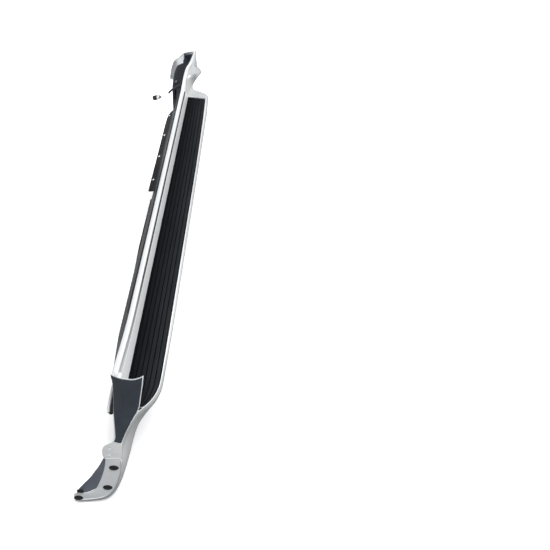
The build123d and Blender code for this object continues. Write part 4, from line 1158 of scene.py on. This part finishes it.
def inner_panel():
    grid = panel_grid()
    ob = sheet("inner_panel_skin", grid, behind(grid, 2.4, floats([40, 0, 10])), [PANEL])
    cut(ob, [prism(stadium(SLOT_X, SLOT_Y, 58.0, 13.0, SLOT_ANGLE, 10), -30.0, 40.0),
             prism(box_loop(724, -26, 16, 12), -98.0, -78.0, lambda y, z, x: (x, y, z)),
             prism(box_loop(-58, 772, 12, 16), 15.0, 50.0)])

    def flank_z(x, y):
        row = grid[int(np.argmin(np.abs(grid[:, 0, 1] - y)))][:40]
        row = row[np.argsort(row[:, 0])]
        return float(np.interp(x, row[:, 0], row[:, 2]))

    # raised lip round the slot
    path = [(x, y, flank_z(x, y) + 0.8)
            for x, y in stadium(SLOT_X, SLOT_Y, 62.5, 17.5, SLOT_ANGLE, 12)]
    lip = tube("lip", path, oval(0, 0, 2.4, 2.0, 12), PANEL, closed=True)
    hand_over(join("inner_panel_skin", [ob, lip]), "inner_panel", 35)


# ---------------------------------------------------------------- under cover
COVER_FOOT = [(-48, -43.6), (-61.5, -43)]


def cover_path(x, z):
    """Section of the cover that starts from (x, z) at the outer edge."""
    return [(x, z), (x - 9.0, z - 6.6), (x * 0.72, z * 0.36 - 32.5),
            (x * 0.43, -50.5 + (z + 21.0) * 0.1), (x * 0.08, -56.8), (-22.0, -55.5),
            (-41.0, -48.5)] + COVER_FOOT


# y: outline (x, z) from the outer edge to the inner foot
COVER_SECTIONS = {
    955: [(15, 35), (2, 10), (-8, -10), (-17, -27), (-25, -40), (-31, -47.5), (-41, -49)]
    + COVER_FOOT,
    880: [(4, 24), (-2, 8), (-9, -10), (-17, -27), (-24, -40), (-31, -47.5), (-41, -49)]
    + COVER_FOOT,
    806: [(-3.5, -4), (-5, -14), (-8, -26), (-13, -36), (-20, -44), (-29, -49), (-41, -49)]
    + COVER_FOOT,
    752: [(5, -9.5), (3, -19), (-1, -30), (-7, -40), (-14, -47), (-26, -52), (-41, -49)]
    + COVER_FOOT,
    700: [(66, -9.5), (60, -18), (48, -31), (30, -43), (6, -51), (-22, -53.5), (-41, -48.5)]
    + COVER_FOOT,
    640: cover_path(84.2, -20.0), 520: cover_path(91.8, -21.4), -560: cover_path(92.4, -21.4),
    -640: cover_path(91.4, -22.6), -700: cover_path(90.0, -25.5),
    -742: cover_path(84.0, -35.5), -768: cover_path(74.0, -40.5),
    -792: cover_path(56.0, -45.0)}
COVER_RADII = [0, 5, 16, 16, 16, 12, 6, 4, 0]


def under_cover():
    ys = stations(-792.0, 955.0, [(-792, -560, 12.0), (520, 955, 12.0)])
    grid = floats([at_y(round_path(section_at(COVER_SECTIONS, y), COVER_RADII, 5), y)
                   for y in ys])
    ob = sheet("under_cover_skin", grid, behind(grid, 2.4, up(40.0)), [COVER])
    openings = [prism(round_box(33.0, y, 44.0, 104.0, 10.0), -64.0, -36.0)
                for y in (-470.0, 0.0, 470.0)]
    slots = [prism(stadium(-14.0, y, 16.0, 7.0, 0.0, 6), -62.0, -48.0)
             for y in (-640.0, -235.0, 235.0, 600.0)]
    cut(ob, openings + slots)
    hand_over(ob, "under_cover", 35)


# ---------------------------------------------------------------- step pad
PAD_START, PAD_END = -797.6, 680.0
PAD_INNER, PAD_OUTER = 1.2, 102.0
# y, outer x of the pad
PAD_EDGE = floats([(-797.6, 61.6), (-790.8, 72.6), (-780.6, 83.6), (-769, 91.4), (-757, 96.2),
                   (-741, 100.2), (-700, 101.8), (-640, 102), (-560, 102.1), (120, 102.1),
                   (330, 100), (520, 96.4), (590, 94.6), (644, 92.4), (690, 90.6)])
# x across the pad, y where its -Y end lies
PAD_SLANT = [1.2, 14, 30, 52, 61.6, 75, 102], [-780, -786, -792.5, -798.5, -797.6, -797.6, -797.6]
# (x, height) profiles; the rib and the groove repeat at RIB_PITCH from RIB_START
RIB_COUNT, RIB_START, RIB_PITCH = 6, 10.0, 15.3
INNER_RIB = [(1.2, -3.4), (1.25, -0.6), (1.6, -0.05), (2.4, 0.1), (5.4, 0.1), (6.4, -0.05),
             (6.9, -0.5), (7.15, -1.35), (7.5, -1.6), (8.5, -1.6), (9.5, -1.6)]
RIB = [(-0.15, -1.35), (0.1, -0.5), (0.55, -0.05), (1.3, 0.16), (2.4, 0.2), (3.6, 0.1),
       (4.1, -0.12), (4.6, 0.1), (6.15, 0.2), (7.7, 0.1), (8.2, -0.12), (8.7, 0.1), (9.9, 0.2),
       (11, 0.16), (11.75, -0.05), (12.2, -0.5), (12.45, -1.35)]
GROOVE = [(12.8, -1.6), (13.8, -1.6), (14.8, -1.6)]
OUTER_LIP = [(99.4, -1.6), (100.6, -1.6), (101.2, -1.2), (101.8, -1.3), (102, -3.4)]


def pad_profile():
    points = list(INNER_RIB)
    for i in range(RIB_COUNT):
        x = RIB_START + RIB_PITCH * i
        repeat = RIB + GROOVE if i < RIB_COUNT - 1 else RIB
        points += [(x + dx, z) for dx, z in repeat]
    return floats(points + OUTER_LIP).T


def step_pad():
    x, height = pad_profile()
    rows = []
    fine = [(PAD_START, -690, 4.0), (-690, -640, 10.0), (600, 680, 6.0)]
    for y in stations(PAD_START, PAD_END, fine):
        edge = table_at(PAD_EDGE, y)[0]
        if y >= -700:
            across = PAD_INNER + (x - PAD_INNER) / (PAD_OUTER - PAD_INNER) * (edge - PAD_INNER)
        else:
            # only the outer part bends in with the rim
            across = x - (PAD_OUTER - edge) * (x / PAD_OUTER) ** 1.9
        # both ends run at a slant
        along = y - smoothstep(590.0, PAD_END, y) * (x - PAD_INNER) * (36.0 / 91.0)
        start = 1 - smoothstep(PAD_START, -740.0, y)
        along = along + start * (np.interp(x, *PAD_SLANT) - PAD_START)
        rows.append(np.column_stack([across, along, height]))
    top = floats(rows)
    bottom = top.copy()
    bottom[:, :, 2] = DECK + 0.02
    hand_over(sheet("step_pad_skin", top, bottom, [PAD]), "step_pad", 50)


# ---------------------------------------------------------------- sill plates
# Outlines (x, y) and corner radii.
SILL_FLANGE = [(-64, 93), (-86.5, 93), (-88, 100), (-109.5, 101), (-113, 104.5), (-113, 560),
               (-110, 612), (-104, 640), (-96, 656), (-84, 667), (-64, 669)]
SILL_FLANGE_RADII = [1, 4, 4, 4, 5, 60, 40, 22, 16, 12, 1]
SILL_STRIP = [(-64, 56), (-91, 56), (-93.5, 50), (-94, -190), (-91, -260), (-88.5, -322),
              (-64, -330)]
SILL_STRIP_RADII = [1, 5, 5, 60, 60, 5, 1]
LARGE_HOLES = -103.0, (172, 322, 472, 622)      # x, ys


def sill_plate(name, outline, radii, small_hole_ys, large_holes=()):
    loops = [round_path(outline, radii, 6, closed=True), *large_holes]
    loops += [circle(-71.0, y, 2.7, 20) for y in small_hole_ys]
    return plate(name, loops, 2.5, FLANGE, 0.6, level(FLANGE_Z))


def sill_flange():
    hole_x, hole_ys = LARGE_HOLES
    parts = [sill_plate("sill_flange_skin", SILL_FLANGE, SILL_FLANGE_RADII,
                        (120, 250, 397, 547, 645), [circle(hole_x, y, 4.5, 32) for y in hole_ys])]
    face_z = FLANGE_Z + 1.25
    for hole_y in hole_ys:
        ring = [(x, y, face_z) for x, y in circle(hole_x, hole_y, 6.8, 36)]
        parts.append(tube("boss", ring, oval(0, 0, 0.9, 0.7, 8), FLANGE, closed=True))
    bead = [(-90.2, y, face_z) for y in np.linspace(108, 560, 40)]
    bead += [(-90.2 + 4.0 * ((y - 560) / 90) ** 2, y, face_z) for y in np.linspace(565, 640, 14)]
    parts.append(tube("bead", bead, oval(0, 0, 1.5, 0.9, 10), FLANGE))
    hand_over(join("sill_flange_skin", parts), "sill_flange")


def sill_strip():
    ob = sill_plate("sill_strip_skin", SILL_STRIP, SILL_STRIP_RADII, (20, -130, -280))
    hand_over(join("sill_strip_skin", [ob]), "sill_strip")


# ---------------------------------------------------------------- seal and oval plugs
def ridge_seal():
    """Round bead on a narrow foot, along the inner side of the ridge."""
    r = 2.3
    profile = [(r * math.cos(a) - 22.5, r * math.sin(a) + 38.6)
               for a in np.linspace(math.radians(-60), math.radians(240), 14)]
    profile += [(-24.4, 34.3), (-22.8, 34.3)]
    rings = [at_y(profile, y) for y in np.linspace(-520, 640, 60)]
    hand_over(loft("ridge_seal_skin", rings, [RUBBER]), "ridge_seal")


PLUG_A, PLUG_B = 14.4, 8.0      # half axes of the plug head
# share of the head size, height above the flange
PLUG_HEAD = [(0, 2), (0.35, 1.95), (0.7, 1.75), (0.86, 1.4), (0.94, 0.95), (0.985, 0.5), (1, 0.1)]
PLUG_STEM = [(0.80, 0.05), (0.79, -3.4), (0.82, -4), (0.80, -5.6), (0.7, -6.6)]


def arch_plugs():
    parts = []
    for u, v in PLUGS:
        sizes = [(max(PLUG_A * f, 0.05), max(PLUG_B * f, 0.03), h) for f, h in PLUG_HEAD]
        sizes += [(PLUG_A * f, PLUG_B * f - 0.4, h) for f, h in PLUG_STEM]
        rings = [[on_flange(*p, h) for p in oval(u, v, a, b, 40)] for a, b, h in sizes]
        parts.append(loft("plug", rings, [NYLON]))
        # thin ring on the head
        ring = [on_flange(*p, 1.35) for p in oval(u, v, 10.4, 5.4, 40)]
        parts.append(tube("pg", ring, circle(0, 0, 0.5, 8), NYLON, closed=True))
    hand_over(join("arch_plugs_skin", parts), "arch_plugs")


# ---------------------------------------------------------------- cable
# Centre lines as (x, z).
TAIL = [(-23, 40.4), (-36, 40.6), (-52, 37), (-70, 30.6), (-86, 22.6), (-97, 15.6)]
WIRES = [(-97, 15.6), (-110, 8.6), (-128, 4), (-147, 3)]


def tape(path, radius, end_radius):
    radii = [end_radius] + [radius] * (len(path) - 2) + [end_radius]
    return round_tube("tape", path, radii, WEB)


def cable_tail():
    """Corrugated sleeve with a tape wrap near each end."""
    path = catmull(at_y(TAIL, CABLE_Y), 22)
    waves = [math.sin(i * math.pi / 2.5) for i in range(len(path))]
    radii = [4.25 + 0.42 * math.copysign(abs(wave) ** 0.6, wave) for wave in waves]
    parts = [round_tube("sleeve", path, radii, NYLON),
             tape(path[2:13], 4.95, 4.5), tape(path[-9:], 4.9, 4.4)]
    hand_over(join("cable_tail_skin", parts), "cable_tail", 30)


def plug_block(name, start, end, width, height, radius, material, edge=0.5):
    loop = round_box(CABLE_Y, 3.0, width, height, radius)
    ob = loft(name, [[(x, y, z) for y, z in loop] for x in (start, end)], [material])
    round_edges(ob, edge, angle=40)
    return ob


def cable_plug():
    parts = [plug_block("housing", -184.0, -164.6, 19.6, 15.6, 3.0, NYLON),
             plug_block("mate", -164.9, -150.0, 18.4, 14.4, 2.6, PAINT_SHADE_GREY),
             plug_block("collar", -150.4, -145.8, 14.0, 11.0, 2.2, BACKING),
             plug_block("seal_ring", -165.9, -163.9, 20.4, 16.4, 3.2, RUBBER, 0.3)]
    for k in range(4):
        parts.append(plug_block("rib", -182.0 + 3.4 * k, -180.6 + 3.4 * k, 20.3, 16.3, 3.2,
                                NYLON, 0.3))
    # two twisted wires
    centre = catmull(at_y(WIRES, CABLE_Y), 12)
    for phase, material in ((0.0, PAINT), (math.pi, BACKING)):
        turns = [phase + 0.32 * k for k in range(len(centre))]
        path = [p + floats([0, 1.15 * math.cos(t), 1.15 * math.sin(t)])
                for p, t in zip(centre, turns)]
        parts.append(round_tube("wire", path, [0.95] * len(path), material, 12))
    latch = round_box(-166.5, CABLE_Y, 17.0, 5.2, 1.2)
    parts.append(plate("latch", [latch], 1.8, NYLON, 0.4, level(11.7)))
    hand_over(join("cable_plug_skin", parts), "cable_plug", 35)


# ---------------------------------------------------------------- corner tab and cup liner
def corner_tab():
    base = round_path([(-46, -716), (-63.5, -716), (-65, -735), (-63, -793), (-59, -802),
                       (-50, -806), (-44, -803)], [1, 2, 8, 8, 5, 5, 3], closed=True)
    wall = round_path([(-63.5, -717), (-65, -735), (-63, -793), (-59, -802), (-54, -798),
                       (-56.6, -790), (-58.6, -735), (-57.2, -717)],
                      [1, 6, 6, 2, 2, 6, 6, 1], 3, closed=True)
    # The black nylon base shows beside the white wall; its black there also stands for the shadow
    # beside the wall, painted shade.
    parts = [plate("tab", [base], 2.0, NYLON, 0.5, level(-37.0)),
             plate("tabw", [wall], 9.0, PAINT, 0.9, level(-33.5))]
    hand_over(join("corner_tab_skin", parts), "corner_tab")


def cup_liner():
    # Dark wall in the hollow of the +Y end; its dark colour stands for the shade in the hollow,
    # painted shade.
    loop = round_path([(-46.5, 1017.5), (-44, 1017.5), (-36, 960), (-36.5, 926.5),
                       (-39, 926.5), (-38.6, 960)], [0.6, 0.6, 20, 0.6, 0.6, 20], 5, closed=True)
    heights = (-38.0, -37.4, -10.0, 15.0, 40.0, 49.4, 50.0)
    ob = loft("cup_liner_skin", [[(x, y, z) for x, y in loop] for z in heights], [LINER])
    hand_over(ob, "cup_liner")


for make_piece in (outer_shell, arch_liner, guard_backing, inner_panel, under_cover, step_pad,
                   sill_flange, sill_strip, ridge_seal, arch_plugs, cable_tail, cable_plug,
                   corner_tab, cup_liner):
    make_piece()

# CAD pieces that keep their shape and only take a finish.
FINISH_ONLY = {
    "flange_screws": STEEL, "sheet_nuts": STEEL, "push_pins": NYLON, "support_beam": ALU,
    "saddle_front": ECOAT, "saddle_middle": ECOAT, "saddle_rear": ECOAT, "rivet_nuts": STEEL,
    "beam_isolators": RUBBER, "cross_ribs": COVER, "spring_clips": STEEL,
    "pad_retainers": NYLON}
for node, material in FINISH_ONLY.items():
    slots = frame["nodes"][node].data.materials
    slots.clear()
    slots.append(material)


# ---------------------------------------------------------------- stage, in metres
def floor():
    bm = bmesh.new()
    bmesh.ops.create_grid(bm, x_segments=2, y_segments=2, size=14.0)
    mesh = bpy.data.meshes.new("floor")
    bm.to_mesh(mesh)
    bm.free()
    ob = link("floor", mesh)
    ob.location = (0, 0, -0.176 + SHIFT[2] * MM)
    material, tree, inputs = new_material(
        "floor_white", Emission_Color=(1.0, 1.0, 1.0, 1.0), Roughness=0.9,
        Specular_IOR_Level=0.1)
    # near white and glowing to the camera, darker in the bounce it gives the part
    cloud = noise(tree, scale=3.0, detail=3)
    seen = ramp(tree, cloud, (0.3, (0.945, 0.945, 0.947)), (0.7, (0.955, 0.955, 0.957)))
    bounce = ramp(tree, cloud, (0.3, (0.36, 0.362, 0.366)), (0.7, (0.38, 0.382, 0.386)))
    camera_ray = tree.nodes.new("ShaderNodeLightPath").outputs["Is Camera Ray"]
    tree.links.new(mix(tree, camera_ray, bounce, seen), inputs["Base Color"])
    glow = 0.42
    tree.links.new(product(tree, camera_ray, glow), inputs["Emission Strength"])
    mesh.materials.append(material)


def world():
    studio = bpy.data.worlds.new("studio")
    bpy.context.scene.world = studio
    studio.use_nodes = True
    tree = studio.node_tree
    tree.nodes.clear()
    output = tree.nodes.new("ShaderNodeOutputWorld")
    background = tree.nodes.new("ShaderNodeBackground")
    height = remap(tree, coordinate(tree, "Z", "Generated"), span=(-1, 1), to=(0, 1))
    sky = ramp(tree, height, (0.0, (0.9, 0.9, 0.9)), (0.5, (0.95, 0.96, 0.97)),
               (0.75, (0.62, 0.66, 0.72)), (1.0, (1.0, 1.0, 1.0)))
    tree.links.new(sky, background.inputs["Color"])
    background.inputs["Strength"].default_value = 0.40
    tree.links.new(background.outputs[0], output.inputs[0])


def light(name, kind, location, away, **settings):
    """Light at location; away points from what it lights back to it."""
    data = bpy.data.lights.new(name, kind)
    for key, value in settings.items():
        setattr(data, key, value)
    ob = link(name, data)
    ob.location = location
    ob.rotation_euler = away
    return ob


def area(name, location, target, size, **settings):
    aim = (Vector(target) - Vector(location)).to_track_quat("-Z", "Y").to_euler()
    return light(name, "AREA", location, aim, shape="RECTANGLE", size=size[0], size_y=size[1],
                 color=(0.98, 0.99, 1.0), **settings)


def sun(name, direction, **settings):
    aim = Vector(direction).to_track_quat("Z", "Y").to_euler()
    return light(name, "SUN", [c * 3 for c in direction], aim, **settings)


def camera():
    data = bpy.data.cameras.new("view")
    ob = link("view", data)
    right = Vector((0.9841, 0.0001, -0.1778))
    upward = Vector((0.1000, 0.8265, 0.5539))
    forward = Vector((-0.1470, 0.5629, -0.8134))
    place = Vector((0.6125, -1.1148, 1.0188)) + Vector(SHIFT) * MM
    turn = Matrix((right, upward, -forward)).transposed()
    ob.matrix_world = Matrix.Translation(place) @ turn.to_4x4()
    data.lens = 26.13
    data.sensor_width = 36.0
    data.clip_start = 0.01
    data.clip_end = 60
    bpy.context.scene.camera = ob


floor()
world()
sun("key", (0.50, 0.36, 0.79), energy=3.12, angle=math.radians(36), color=(1.0, 0.998, 0.992))
area("side", (2.4, -0.2, 1.6), target=(0, 0, 0), size=(1.4, 2.8), energy=4)
fill = area("fill", (-0.42, 0.62, 0.16), target=(-0.05, 0.96, 0.0), size=(0.34, 0.34), energy=2.3)
fill.visible_camera = False
camera()
bpy.context.scene.view_settings.view_transform = "Standard"
